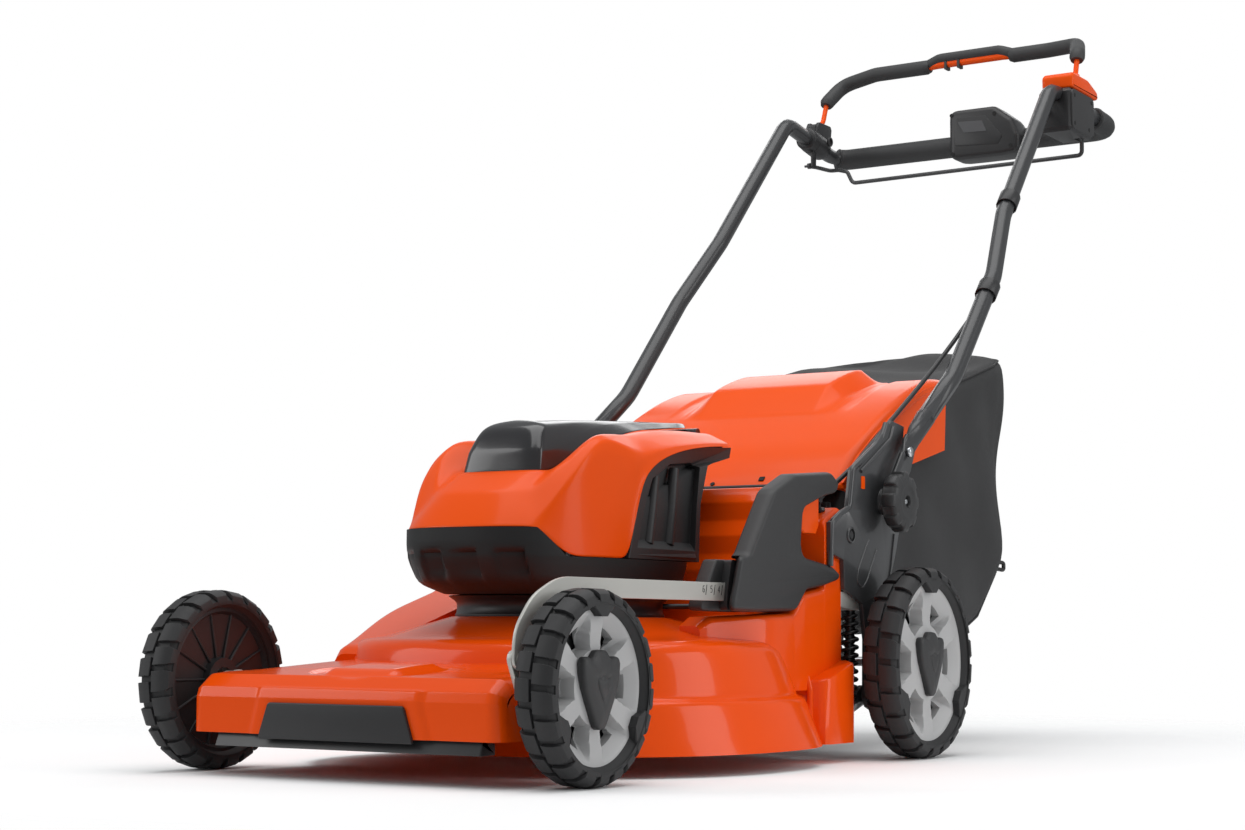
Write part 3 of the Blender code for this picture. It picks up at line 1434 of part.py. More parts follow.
def make_handle():
    handle = tube(handle_path(), TUBE_R)
    middle = TUBE_LOW_X - 0.5 * FLAT_T
    y, z = FOLD_Y, FOLD_Z
    b_y, b_z = TUBE_BOLT_Y, TUBE_BOLT_Z
    end = unite(
        plate(stadium((y, z), (b_y - 0.003, b_z - 0.012), 0.019, 0.0155, 5), FLAT_LOW_X, TUBE_LOW_X),
        plate(
            stadium((b_y - 0.005, b_z - 0.018), (b_y + 0.009, b_z + 0.010), 0.0155, 0.0155, 5),
            FLAT_LOW_X + 0.0002,
            TUBE_LOW_X - 0.0002,
        ),
    )
    along = (0.0, 0.66, 0.75)
    neck = loft(
        [
            oval_ring((middle, b_y + 0.007, b_z + 0.006), along, 0.0023, 0.0150),
            oval_ring((middle + 0.0004, b_y + 0.029, b_z + 0.027), (0.0, 0.70, 0.71), 0.0085, 0.0142),
            oval_ring((TUBE_LOW_X, b_y + 0.057, b_z + 0.051), (0.0, 0.76, 0.65), 0.0122, 0.0122),
        ]
    )
    end = unite(end, neck)
    end = cut(end, across(0.2, 0.3, y, z, FOLD_BOLT_R + GAP, 16))
    end = cut(end, across(0.2, 0.3, b_y, b_z, 0.003 + GAP, 12))
    handle = unite(handle, mirrored(end), end)
    keep(handle, "handle_tube", TUBE_PAINT, "handle_fold")
    for name, sign in (("left", 1.0), ("right", -1.0)):
        head = across(TUBE_LOW_X + GAP, TUBE_LOW_X + 0.0052, b_y, b_z, 0.0068, 6)
        shank = across(FLAT_LOW_X - 0.0015, TUBE_LOW_X + 0.002, b_y, b_z, 0.003, 12)
        shape = unite(head, shank)
        if sign < 0.0:
            shape = to_right(shape)
        keep(shape, "handle_bolt_" + name, ZINC, "handle_fold")
        lobes = []
        for index in range(32):
            angle = 2.0 * math.pi * index / 32
            r = KNOB_R * (0.945 + 0.055 * math.cos(8.0 * angle))
            lobes.append((y + r * math.cos(angle), z + r * math.sin(angle)))
        knob_in = TUBE_LOW_X + GAP
        knob = bevelled(plate(lobes, knob_in, knob_in + KNOB_T), 0.003, 1, 50.0)
        shaft = across(BRACKET_X - 0.004, knob_in + 0.002, y, z, FOLD_BOLT_R, 16)
        knob = unite(knob, shaft)
        if sign < 0.0:
            knob = to_right(knob)
        keep(knob, "fold_knob_" + name, BLACK_PLASTIC, "knob_turn_" + name)
    pad = across(-GRIP_PAD_HALF, GRIP_PAD_HALF, GRIP_Y, GRIP_Z, GRIP_R, 16)
    keep(cut(pad, handle_bore()), "grip_pad", PAD_RUBBER, "handle_fold")


def clip_at(place):
    """A clip's middle, and the way that the tube runs there."""
    middle_line = handle_path()
    before = [p for p in middle_line if p.x > 0.0 and p.y <= place][-1]
    after = middle_line[middle_line.index(before) + 1]
    return before.lerp(after, (place - before.y) / (after.y - before.y)), (after - before).normalized()


def cable_beside(centre, along):
    """The cable's place behind the tube and inboard of it."""
    back = along.cross(Vector((1.0, 0.0, 0.0))).normalized()
    if back.y < 0.0:
        back = -back
    aside = (back - Vector((1.0, 0.0, 0.0))).normalized()
    return centre + aside * (TUBE_R + CABLE_R + CABLE_OFF)


def make_clip(name, place):
    centre, along = clip_at(place)
    half = along * 0.5 * CLIP_LENGTH
    sleeve = rod(centre - half, centre + half, TUBE_R + 0.0030)
    beside = cable_beside(centre, along)
    saddle = rod(beside - half * 0.9, beside + half * 0.9, CABLE_R + 0.0024, 12)
    clip = unite(sleeve, saddle)
    clip = cut(clip, rod(centre - half * 3.0, centre + half * 3.0, TUBE_R + GAP * 3.0))
    clip = cut(clip, tube(cable_route(), CABLE_R + GAP * 1.5, 1))
    keep(clip, name, BLACK_PLASTIC, "handle_fold")


def cable_route():
    """The handle cable's middle line, from the control box down to the stud on the deck."""
    upper, up_along = clip_at(UPPER_CLIP_Y)
    lower, low_along = clip_at(LOWER_CLIP_Y)
    a = cable_beside(upper, up_along)
    b = cable_beside(lower, low_along)
    eye = cable_eye() + EYE_ALONG * (0.004 + GAP)
    box_face = Vector((BOX_IN_X + 0.012, BOX_FACE_Y - GAP, BOX_LOW_Z + 0.032))
    knots = [
        box_face,
        box_face - Vector((0.0, 0.010, 0.0)),
        cable_beside(Vector((0.2345, 1.300, 0.960)), up_along) + Vector((-0.003, 0.0, 0.0)),
        cable_beside(Vector((0.2365, 1.250, 0.904)), up_along),
        a + up_along * 0.025,
        a,
        a - up_along * 0.020,
        cable_beside(Vector((0.2515, 1.087, 0.720)), up_along) + Vector((-0.001, 0.001, -0.001)),
        b + low_along * 0.020,
        b,
        b - low_along * 0.018,
        (0.2370, 0.960, 0.566),
        (0.2345, 0.900, 0.523),
        (0.2340, 0.830, 0.479),
        (0.2320, 0.759, 0.434),
        (0.2280, 0.661, 0.370),
        eye + EYE_ALONG * 0.012,
        eye,
    ]
    return smooth_route(knots, 0.021)


def make_cable():
    keep(tube(cable_route(), CABLE_R, 1), "handle_cable", BLACK_PLASTIC, "handle_fold", 80.0)


def eye_pin(sign, y, z, gap=0.0):
    """The pin through a wire's eye and the two cheeks beside it."""
    reach = EYE_PIN_HALF + gap
    return across(sign * EYE_X - reach, sign * EYE_X + reach, y, z, EYE_PIN_R + gap, 10)


def make_controls():
    low, high = BOX_LOW_Z, BOX_HIGH_Z
    body = box((BOX_IN_X, BOX_FACE_Y, low), (BOX_OUT_X, BOX_BACK_Y, high))
    body = bevelled(body, 0.006, 1, 50.0)
    body = cut(body, handle_bore())
    reach = EYE_HALF + 0.0007
    slot = box((EYE_X - reach, WIRE_AXIS_Y - 0.014, low - 0.02), (EYE_X + reach, 1.5, WIRE_AXIS_Z + 0.011))
    body = cut(body, slot, eye_pin(1.0, WIRE_AXIS_Y, WIRE_AXIS_Z, GAP))
    keep(body, "control_box", BLACK_PLASTIC, "handle_fold")
    x_in, x_out = -EYE_X - TUBE_R - 0.004, -EYE_X + TUBE_R + 0.004
    y, z = WIRE_AXIS_Y, WIRE_AXIS_Z
    outline = [
        (y - 0.009, z - 0.006),
        (y - 0.009, z + 0.010),
        (y + 0.004, z + 0.024),
        (y + 0.004, BAIL_AXIS_Z + 0.004),
        (BAIL_AXIS_Y - 0.010, BAIL_AXIS_Z + 0.012),
        (BAIL_AXIS_Y + 0.016, BAIL_AXIS_Z + 0.012),
        (BAIL_AXIS_Y + 0.026, BAIL_AXIS_Z),
        (BAIL_AXIS_Y + 0.026, z + 0.020),
        (y + 0.010, z - 0.006),
    ]
    mount = cut(plate(outline, x_in, x_out), handle_bore())
    mount = cut(mount, box((-EYE_X - reach, 1.43, BAIL_AXIS_Z - 0.0110), (-EYE_X + reach, 1.6, 1.1)))
    mount = cut(mount, box((-EYE_X - reach, y - 0.014, 0.92), (-EYE_X + reach, 1.6, z + 0.011)))
    mount = cut(mount, eye_pin(-1.0, y, z, GAP), eye_pin(-1.0, BAIL_AXIS_Y, BAIL_AXIS_Z, GAP))
    keep(mount, "bail_mount", BLACK_PLASTIC, "handle_fold")
    outline = [
        (-0.004, 0.947),
        (-0.012, 0.956),
        (-0.012, 1.020),
        (0.000, 1.033),
        (0.086, 1.033),
        (0.100, 1.022),
        (0.114, 0.990),
        (0.114, 0.957),
        (0.100, 0.947),
    ]
    front, back = GRIP_Y - DISPLAY_REACH, GRIP_Y + DISPLAY_BACK
    display = bevelled(plate(rounded(outline, 0.006, 1), front, back, "XZ"), 0.003, 1, 50.0)
    display = cut(display, across(-0.3, 0.3, GRIP_Y, GRIP_Z, GRIP_R + GAP))
    x, z = BUTTON_X, GRIP_Z + BUTTON_UP
    pocket = rod((x, back - BUTTON_DEEP, z), (x, back + 0.01, z), BUTTON_R + GAP)
    keep(cut(display, pocket), "display_housing", BLACK_PLASTIC, "handle_fold")
    start = back - BUTTON_DEEP + BUTTON_TRAVEL + GAP
    button = rod((x, start, z), (x, back + BUTTON_PROUD, z), BUTTON_R)
    keep(button, "power_button", ORANGE_PLASTIC, "button_slide")


def bail_bar():
    """The drive bail's path over the grip, from its hub to its far eye."""
    x = EYE_X
    return [
        (x, BAIL_AXIS_Y - 0.040, BAIL_AXIS_Z + 0.014),
        (x, BAIL_AXIS_Y - 0.026, BAIL_AXIS_Z + 0.062),
        (x - 0.021, BAIL_AXIS_Y + 0.030, BAIL_AXIS_Z + 0.094),
        (x - 0.080, BAIL_AXIS_Y + 0.052, BAIL_AXIS_Z + 0.098),
        (-x + 0.080, BAIL_AXIS_Y + 0.072, BAIL_AXIS_Z + 0.103),
        (-x + 0.015, BAIL_AXIS_Y + 0.076, BAIL_AXIS_Z + 0.092),
        (-x, BAIL_AXIS_Y + 0.042, BAIL_AXIS_Z + 0.056),
        (-x, BAIL_AXIS_Y + 0.028, BAIL_AXIS_Z + 0.020),
        (-x, BAIL_AXIS_Y, BAIL_AXIS_Z),
    ]


def make_drive_bail():
    path = bent_path(bail_bar(), 0.018, 30.0)
    wire = tube(path, BAIL_WIRE_R)
    x = EYE_X
    y, z = BAIL_AXIS_Y, BAIL_AXIS_Z
    low = BOX_HIGH_Z + GAP
    hub = [
        (y - 0.096, low),
        (y - 0.098, low + 0.020),
        (y - 0.090, low + 0.026),
        (y - 0.026, low + 0.026),
        (y + 0.014, low + 0.014),
        (y + 0.017, low + 0.001),
        (y + 0.006, low),
    ]
    hub = bevelled(plate(hub, BOX_IN_X + 0.003, BOX_OUT_X - 0.001), 0.004, 1, 50.0)
    hub = cut(hub, handle_bore(0.0015))
    boss = rod((x, y - 0.041, z + 0.010), (x, y - 0.036, z + 0.034), 0.0075, 12)
    eye = unite(across(-x - EYE_HALF, -x + EYE_HALF, y, z, 0.006, 14), eye_pin(-1.0, y, z))
    raised_path = palm_path(0.0)
    under = tube(raised_path, BAIL_WIRE_R + 0.0018)
    keep(unite(wire, under, hub, boss, eye), "drive_bail_wire", ORANGE_PLASTIC, "drive_bail")
    near, far = sleeve_spans(path)
    grip = unite(tube(near, BAIL_PAD_R), tube(palm_path(0.013), BAIL_PAD_R - 0.0035), tube(far, BAIL_PAD_R))
    grip = cut(grip, tube(path, BAIL_WIRE_R + GAP), tube(palm_path(0.0, 0.001), BAIL_WIRE_R + 0.0018 + GAP))
    keep(grip, "drive_bail_grip", PAD_RUBBER, "drive_bail")


def palm_path(lift, longer=0.0):
    """The middle of the bail between its sleeves, raised where the palm lies."""
    a = Vector(bail_bar()[3])
    b = Vector(bail_bar()[4])
    spots = []
    for x, up in ((0.098, 0.0), (0.078, 1.0), (-0.040, 1.0), (-0.060, 0.0)):
        x += longer if x > 0.0 else -longer
        share = (a.x - x) / (a.x - b.x)
        spots.append(a.lerp(b, share) + Vector((0.0, 0.0, lift * up)))
    return spots


def sleeve_spans(path):
    """The stretches of the bail that its padding covers, on the near and the far side."""
    start = BAIL_AXIS_Z + 0.050
    near = [p for p in path if p.x > 0.10 and p.z > start]
    far = [p for p in path if p.x < -0.10 and p.z > start]
    a, b = palm_path(0.0)[0], palm_path(0.0)[3]
    near.append(a - Vector((0.004, 0.0, 0.0)))
    far.insert(0, b + Vector((0.004, 0.0, 0.0)))
    return near, far


def make_presence_bail():
    x = EYE_X
    y, z = WIRE_AXIS_Y, WIRE_AXIS_Z
    points = [
        (x, y, z),
        (x, y + 0.022, z - 0.008),
        (x - 0.010, y + 0.046, z - 0.027),
        (-x + 0.050, y + 0.046, z - 0.027),
        (-x + 0.036, y + 0.050, z - 0.008),
        (-x + 0.004, y + 0.054, z - 0.006),
        (-x, y + 0.030, z - 0.002),
        (-x, y, z),
    ]
    wire = tube(bent_path(points, 0.008, 30.0), WIRE_R)
    for sign in (1.0, -1.0):
        wire = unite(wire, across(sign * x - EYE_HALF, sign * x + EYE_HALF, y, z, 0.005, 14))
        wire = unite(wire, eye_pin(sign, y, z))
    keep(wire, "presence_bail_wire", TUBE_PAINT, "presence_bail")


def make_pivots():
    pivot("mower", (0.0, 0.0, 0.0))
    pivot("blade_drive", SPINDLE, "mower")
    pivot("lid_hinge", LID_HINGE, "mower")
    pivot("front_axle", FRONT_PIVOT, "mower")
    pivot("link", FRONT_PIN, "front_axle")
    pivot("rear_axle", REAR_PIVOT, "mower")
    for name, sign in (("left", 1.0), ("right", -1.0)):
        front = Vector((sign * FRONT_WHEEL_X, FRONT_AXLE.y, FRONT_AXLE.z))
        rear = Vector((sign * REAR_WHEEL_X, REAR_AXLE.y, REAR_AXLE.z))
        pivot("front_wheel_" + name, front, "front_axle")
        pivot("rear_wheel_" + name, rear, "rear_axle")
    pivot("trigger_slide", (TRIGGER_X, 0.520, 0.305), "mower")
    pivot("flap_hinge", FLAP_HINGE, "mower")
    pivot("bag_slide", (0.0, BAG_FRONT_Y, 0.25), "mower")
    pivot("handle_fold", FOLD, "mower")
    pivot("knob_turn_left", (TUBE_LOW_X, FOLD_Y, FOLD_Z), "handle_fold")
    pivot("knob_turn_right", (-TUBE_LOW_X, FOLD_Y, FOLD_Z), "handle_fold")
    pivot("drive_bail", BAIL_AXIS, "handle_fold")
    pivot("presence_bail", WIRE_AXIS, "handle_fold")
    pivot("button_slide", (BUTTON_X, GRIP_Y + DISPLAY_BACK, GRIP_Z + BUTTON_UP), "handle_fold")


def build_mower():
    make_pivots()
    make_deck()
    make_bumper()
    make_motor()
    make_housing()
    make_lid()
    make_batteries()
    for name, sign in (("left", 1.0), ("right", -1.0)):
        body = "front_wheel_" + name
        make_wheel("front_" + name, sign, FRONT_WHEEL_X, FRONT_AXLE, FRONT_WHEEL_D, FRONT_RIM_R, body)
        body = "rear_wheel_" + name
        make_wheel("rear_" + name, sign, REAR_WHEEL_X, REAR_AXLE, REAR_WHEEL_D, REAR_RIM_R, body, 0.0015)
    make_front_axle()
    make_height_link()
    make_rear_axle()
    make_helper_spring()
    make_brackets()
    make_grip()
    make_cable_holder()
    make_flap()
    make_bag()
    make_handle()
    make_clip("cable_clip_upper", UPPER_CLIP_Y)
    make_clip("cable_clip_lower", LOWER_CLIP_Y)
    make_cable()
    make_controls()
    make_drive_bail()
    make_presence_bail()


build_mower()
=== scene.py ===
import json
import math
import random

import bmesh
import bpy
from mathutils import Matrix, Vector


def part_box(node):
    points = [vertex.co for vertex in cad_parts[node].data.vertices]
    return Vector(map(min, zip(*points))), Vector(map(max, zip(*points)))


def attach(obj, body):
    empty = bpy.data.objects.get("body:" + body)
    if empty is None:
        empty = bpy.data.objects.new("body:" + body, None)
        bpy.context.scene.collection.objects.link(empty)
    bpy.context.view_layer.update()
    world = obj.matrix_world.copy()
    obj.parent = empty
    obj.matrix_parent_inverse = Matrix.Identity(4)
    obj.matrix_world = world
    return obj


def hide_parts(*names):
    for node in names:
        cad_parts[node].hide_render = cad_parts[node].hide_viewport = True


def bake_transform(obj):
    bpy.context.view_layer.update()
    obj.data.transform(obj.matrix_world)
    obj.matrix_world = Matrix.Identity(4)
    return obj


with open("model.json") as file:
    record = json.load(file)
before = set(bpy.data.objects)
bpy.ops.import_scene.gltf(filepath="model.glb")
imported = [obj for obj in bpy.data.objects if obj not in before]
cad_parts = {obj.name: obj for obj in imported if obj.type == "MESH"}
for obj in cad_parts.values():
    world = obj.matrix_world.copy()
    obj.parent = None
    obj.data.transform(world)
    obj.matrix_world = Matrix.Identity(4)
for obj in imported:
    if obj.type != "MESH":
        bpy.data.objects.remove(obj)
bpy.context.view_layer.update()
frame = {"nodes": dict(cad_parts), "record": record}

# All lengths are in metres. Points are written from the front axle's line on the
# ground, y towards the handle, and at() moves them into the row frame.
CENTRE_Y = 0.73875


def at(x, y, z):
    return Vector((x, y - CENTRE_Y, z))


# Camera: the photograph's own, solved from the wheels and the handle.
CAMERA_PLACE = at(1.5245, -1.9256, 0.1618)
CAMERA_YAW, CAMERA_PITCH, CAMERA_ROLL = 0.5673, -0.09473, 0.00576
CAMERA_LENS = 64.91
SENSOR = 36.0


def make_camera():
    sin_yaw, cos_yaw = math.sin(CAMERA_YAW), math.cos(CAMERA_YAW)
    back = Vector((sin_yaw * math.cos(CAMERA_PITCH), -cos_yaw * math.cos(CAMERA_PITCH),
                   math.sin(CAMERA_PITCH)))
    right = (-back).cross(Vector((0, 0, 1))).normalized()
    up = right.cross(-back)
    c, s = math.cos(CAMERA_ROLL), math.sin(CAMERA_ROLL)
    r, u = right * c + up * s, up * c - right * s
    data = bpy.data.cameras.new("camera")
    data.lens, data.sensor_width = CAMERA_LENS, SENSOR
    data.clip_start, data.clip_end = 0.1, 60.0
    camera = bpy.data.objects.new("camera", data)
    camera.matrix_world = Matrix((
        (r.x, u.x, back.x, CAMERA_PLACE.x), (r.y, u.y, back.y, CAMERA_PLACE.y),
        (r.z, u.z, back.z, CAMERA_PLACE.z), (0, 0, 0, 1)))
    bpy.context.scene.collection.objects.link(camera)
    bpy.context.scene.camera = camera


make_camera()


class Socket:
    """A shader socket that takes part in Python arithmetic."""

    def __init__(self, tree, out):
        self.tree, self.out = tree, out

    def node(self, kind, settings=None, output=0, **inputs):
        made = self.tree.nodes.new(kind)
        for name, value in (settings or {}).items():
            setattr(made, name, value)
        for name, value in inputs.items():
            key = int(name[1:]) if name[0] == "i" and name[1:].isdigit() else name.replace("_", " ")
            plug(self.tree, made.inputs[key], value)
        return Socket(self.tree, made.outputs[output])

    def maths(self, operation, a, b=None, clamp=False):
        inputs = {"i0": a} if b is None else {"i0": a, "i1": b}
        return self.node("ShaderNodeMath", {"operation": operation, "use_clamp": clamp}, **inputs)

    def __add__(self, other):
        return self.maths("ADD", self, other)

    def __sub__(self, other):
        return self.maths("SUBTRACT", self, other)

    def __mul__(self, other):
        return self.maths("MULTIPLY", self, other)

    def __truediv__(self, other):
        return self.maths("DIVIDE", self, other)

    def clamp(self):
        return self.maths("ADD", self, 0.0, clamp=True)

    def mix(self, a, b):
        """Colour a where this is 0 and colour b where it is 1."""
        return self.node("ShaderNodeMix", {"data_type": "RGBA"}, output=2, i0=self, i6=a, i7=b)


def plug(tree, socket, value):
    if isinstance(value, Socket):
        tree.links.new(value.out, socket)
    elif isinstance(value, tuple) and len(value) == 3 and socket.type == "RGBA":
        socket.default_value = (*value, 1.0)
    else:
        socket.default_value = value


MATERIALS = {}


def material(name, colour, roughness, metallic=0.0, coat=0.0, grain=None, tone_and_shade_mottle=0.04,
             rough_spread=0.06, weave=None, brushed=False, specular=0.5):
    """A moulded, painted or plated finish: soft mottling, uneven gloss and a fine grain. The
    mottling is uneven tone; where strong, as on the bag, it is painted light and shade.
    """
    made = bpy.data.materials.new(name)
    made.use_nodes = True
    tree = made.node_tree
    shader = next(n for n in tree.nodes if n.type == "BSDF_PRINCIPLED")
    tools = Socket(tree, None)
    place = tools.node("ShaderNodeTexCoord", output="Object")
    cloud = tools.node("ShaderNodeTexNoise", Vector=place, Scale=9.0, Detail=3.0)
    fine = tools.node("ShaderNodeTexNoise", Vector=place, Scale=140.0, Detail=2.0)
    dark = tuple(c * (1.0 - tone_and_shade_mottle) for c in colour)
    light = tuple(min(1.0, c * (1.0 + tone_and_shade_mottle)) for c in colour)
    shade = ((cloud - 0.5) * 1.6 + 0.5).clamp()
    plug(tree, shader.inputs["Base Color"], shade.mix(dark, light))
    plug(tree, shader.inputs["Roughness"],
         (fine * 0.5 + cloud * 0.5 - 0.5) * rough_spread * 2.0 + roughness)
    shader.inputs["Metallic"].default_value = metallic
    shader.inputs["Coat Weight"].default_value = coat
    shader.inputs["Coat Roughness"].default_value = 0.06
    shader.inputs["Specular IOR Level"].default_value = specular
    height = None
    if grain:
        size, depth = grain
        height = tools.node("ShaderNodeTexNoise", Vector=place, Scale=1.0 / size, Detail=2.0)
    if weave:
        size, depth = weave
        part = tools.node("ShaderNodeSeparateXYZ", Vector=place)
        x, y, z = (Socket(tree, part.out.node.outputs[k]) for k in range(3))
        turn = 2.0 * math.pi / size
        over = tools.maths("SINE", (x + y) * turn) * tools.maths("SINE", (z - y * 0.3) * turn)
        height = over * 0.5 + 0.5
    if brushed:
        size, depth = 0.0004, 0.00002
        stretch = tools.node("ShaderNodeVectorMath", {"operation": "MULTIPLY"}, i0=place,
                             i1=(1.0, 0.06, 1.0))
        height = tools.node("ShaderNodeTexNoise", Vector=stretch, Scale=1.0 / size, Detail=2.0)
    if height is not None:
        bump = tools.node("ShaderNodeBump", Height=height, Strength=0.6, Distance=depth)
        plug(tree, shader.inputs["Normal"], bump)
    MATERIALS[name] = made
    return made


ORANGE = (0.9, 0.088, 0.002)
material("orange_steel", (0.88, 0.08, 0.0015), 0.22, coat=0.27, tone_and_shade_mottle=0.02, rough_spread=0.03,
         specular=0.12)
material("orange_plastic", ORANGE, 0.3, coat=0.07, tone_and_shade_mottle=0.02, rough_spread=0.04, specular=0.12)
material("dark_plastic", (0.025, 0.025, 0.026), 0.5, grain=(0.0012, 0.00006))
# The lower cover: the dark plastic with a cool tint, painted in to offset the colour the light
# casts on it.
material("cover_plastic_tint_against_light", (0.019, 0.023, 0.024), 0.52, grain=(0.0012, 0.00006), specular=0.25)
material("black_plastic", (0.018, 0.018, 0.019), 0.42, grain=(0.001, 0.00004))
material("lid_plastic", (0.016, 0.016, 0.018), 0.2, coat=0.3, rough_spread=0.04)
material("rim_plastic", (0.47, 0.47, 0.47), 0.42, grain=(0.0012, 0.00003))
material("tyre_rubber", (0.02, 0.02, 0.021), 0.62, grain=(0.0016, 0.00012), rough_spread=0.1)
material("tube_paint", (0.032, 0.033, 0.035), 0.36, coat=0.15, grain=(0.002, 0.000006))
material("pad_rubber", (0.034, 0.035, 0.036), 0.6, grain=(0.0013, 0.0001))
material("link_steel", (0.55, 0.545, 0.51), 0.4, metallic=0.35, grain=(0.0009, 0.00002))
material("zinc", (0.62, 0.64, 0.66), 0.3, metallic=1.0, brushed=True)
material("blade_steel", (0.05, 0.05, 0.055), 0.45, metallic=0.6, grain=(0.001, 0.00004))
material("motor_metal", (0.55, 0.56, 0.58), 0.35, metallic=1.0, brushed=True)
# The bag's strong mottling is painted light and shade of soft wrinkles.
material("bag_fabric", (0.036, 0.036, 0.037), 0.85, weave=(0.0022, 0.0004), tone_and_shade_mottle=0.22)
material("spring_steel", (0.02, 0.02, 0.021), 0.35, metallic=0.3, coat=0.2)
material("bracket_paint", (0.042, 0.043, 0.045), 0.3, coat=0.3, grain=(0.0009, 0.00003))
material("screen", (0.085, 0.086, 0.09), 0.16, coat=0.5)
material("ink", (0.03, 0.03, 0.03), 0.55)
# Near-black for holes, sockets and sunk screws: painted shade in them.
material("painted_hole_shade", (0.006, 0.006, 0.006), 0.75)

for part in frame["record"]["subparts"]:
    node = frame["nodes"][part["node"]]
    node.data.materials.clear()
    node.data.materials.append(MATERIALS[part["material_slot"]])
for name in ("side_bracket_left", "side_bracket_right", "rear_axle_frame"):
    frame["nodes"][name].data.materials[0] = MATERIALS["bracket_paint"]


def soften(ob, angle=32.0):
    """Smooth shading, kept sharp where faces meet at more than that angle."""
    ob.data.shade_smooth()
    ob.data.set_sharp_from_angle(angle=math.radians(angle))


def add_bevel(ob, width, segments=3, angle=30.0):
    made = ob.modifiers.new("round", "BEVEL")
    made.width, made.segments = width, segments
    made.limit_method, made.angle_limit = "ANGLE", math.radians(angle)
    made.harden_normals = True
    made.miter_outer = "MITER_ARC"
    return made


# Edge radii of the CAD nodes that stay in sight.
ROUNDING = {
    "side_bracket_left": 0.0016, "side_bracket_right": 0.0016,
    "control_box": 0.0045, "front_axle_frame": 0.001, "spring_bracket": 0.0012,
    "rear_axle_frame": 0.001, "drive_gearbox": 0.003,
    "cable_clip_upper": 0.001, "cable_clip_lower": 0.001, "height_trigger": 0.0012,
    "cable_grommet": 0.0008, "power_button": 0.0008, "bag_frame": 0.002,
    "battery_bay": 0.001, "battery_front": 0.003, "battery_rear": 0.003,
    "blade": 0.0006, "blade_hub": 0.001,
}
for name, node in frame["nodes"].items():
    weld = node.modifiers.new("weld", "WELD")
    weld.merge_threshold = 0.00002
    soften(node)
    if name in ROUNDING:
        flat = node.modifiers.new("flat", "DECIMATE")
        flat.decimate_type, flat.angle_limit = "DISSOLVE", math.radians(1.5)
        add_bevel(node, ROUNDING[name], segments=3, angle=28)


def finish_mesh(name, bm, paint, body, stands_for=(), angle=32.0, subsurf=0):
    """A bmesh becomes a piece that rides on a body."""
    bmesh.ops.recalc_face_normals(bm, faces=bm.faces)
    data = bpy.data.meshes.new(name)
    bm.to_mesh(data)
    bm.free()
    ob = bpy.data.objects.new(name, data)
    bpy.context.scene.collection.objects.link(ob)
    data.materials.append(MATERIALS[paint])
    if subsurf:
        made = ob.modifiers.new("smooth", "SUBSURF")
        made.levels = made.render_levels = subsurf
        data.shade_smooth()
    else:
        soften(ob, angle)
    if stands_for:
        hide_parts(*stands_for)
    if body:
        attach(ob, body)
    return ob


def loft(bm, rings, closed=True, caps=(True, True)):
    """Quads between rings that have the same number of points. Returns rows of vertices."""
    rows = [[bm.verts.new(p) for p in ring] for ring in rings]
    count = len(rows[0])
    for a, b in zip(rows, rows[1:]):
        for k in range(count if closed else count - 1):
            j = (k + 1) % count
            bm.faces.new((a[k], a[j], b[j], b[k]))
    for cap, row in zip(caps, (rows[0], rows[-1])):
        if cap:
            bm.faces.new(row)
    return rows


def crease(bm, a, b, value):
    """Holds the edge between two vertices, if there is one, for the subdivision."""
    layer = bm.edges.layers.float.get("crease_edge") or bm.edges.layers.float.new("crease_edge")
    edge = bm.edges.get((a, b))
    if edge:
        edge[layer] = value


def crease_columns(bm, rows, values):
    """Holds a cage's edges along some of its columns."""
    for k, value in values.items():
        for a, b in zip(rows, rows[1:]):
            crease(bm, a[k], b[k], value)


def angles(count, phase=0.0):
    """Equal steps round a circle."""
    return [2 * math.pi * k / count + phase for k in range(count)]


def pipe(bm, path, radius, sides=16):
    """A round rod along a path. radius is a number or one for each point."""
    last = len(path) - 1
    radii = radius if isinstance(radius, (list, tuple)) else [radius] * len(path)
    tangents = [(path[min(i + 1, last)] - path[max(i - 1, 0)]).normalized()
                for i in range(len(path))]
    side = tangents[0].orthogonal().normalized()
    rings = []
    for p, t, r in zip(path, tangents, radii):
        side = (side - t * side.dot(t)).normalized()
        other = t.cross(side)
        rings.append([p + (side * math.cos(a) + other * math.sin(a)) * r for a in angles(sides)])
    return loft(bm, rings)


def rounded_path(points, radii, steps=7):
    """A path with its corners bent to the given radii."""
    path = [points[0]]
    for i in range(1, len(points) - 1):
        p, r = points[i], radii[i] if isinstance(radii, (list, tuple)) else radii
        a, b = (points[i - 1] - p), (points[i + 1] - p)
        half = a.angle(b) / 2
        cut = min(r / math.tan(half), 0.49 * a.length, 0.49 * b.length)
        s, e = p + a.normalized() * cut, p + b.normalized() * cut
        for k in range(steps + 1):
            t = k / steps
            path.append(s * (1 - t) ** 2 + p * (2 * t * (1 - t)) + e * t ** 2)
    path.append(points[-1])
    return path


def evenly(path, spacing):
    """Points along a path at equal distances."""
    marks = [0.0]
    for a, b in zip(path, path[1:]):
        marks.append(marks[-1] + (b - a).length)
    count, out, i = max(2, round(marks[-1] / spacing)), [], 0
    for k in range(count + 1):
        want = marks[-1] * k / count
        while i < len(path) - 2 and marks[i + 1] < want:
            i += 1
        step = max(1e-9, marks[i + 1] - marks[i])
        out.append(path[i].lerp(path[i + 1], (want - marks[i]) / step))
    return out


def turned(bm, profile, centre, axis="x", sides=64, caps=(True, True)):
    """A lathe shape round the x or z axis. profile has (along the axis, radius) pairs."""
    rings = []
    for along, radius in profile:
        ring = []
        for t in angles(sides):
            c, s = radius * math.cos(t), radius * math.sin(t)
            ring.append(centre + Vector((along, c, s) if axis == "x" else (c, s, along)))
        rings.append(ring)
    return loft(bm, rings, caps=caps)


def between(value):
    """The value, held within 0 and 1."""
    return max(0.0, min(1.0, value))


def smooth_step(t):
    t = between(t)
    return t * t * (3 - 2 * t)


def ramp(value, start, end):
    """0 at start and 1 at end, smooth between them."""
    return smooth_step((value - start) / (end - start))


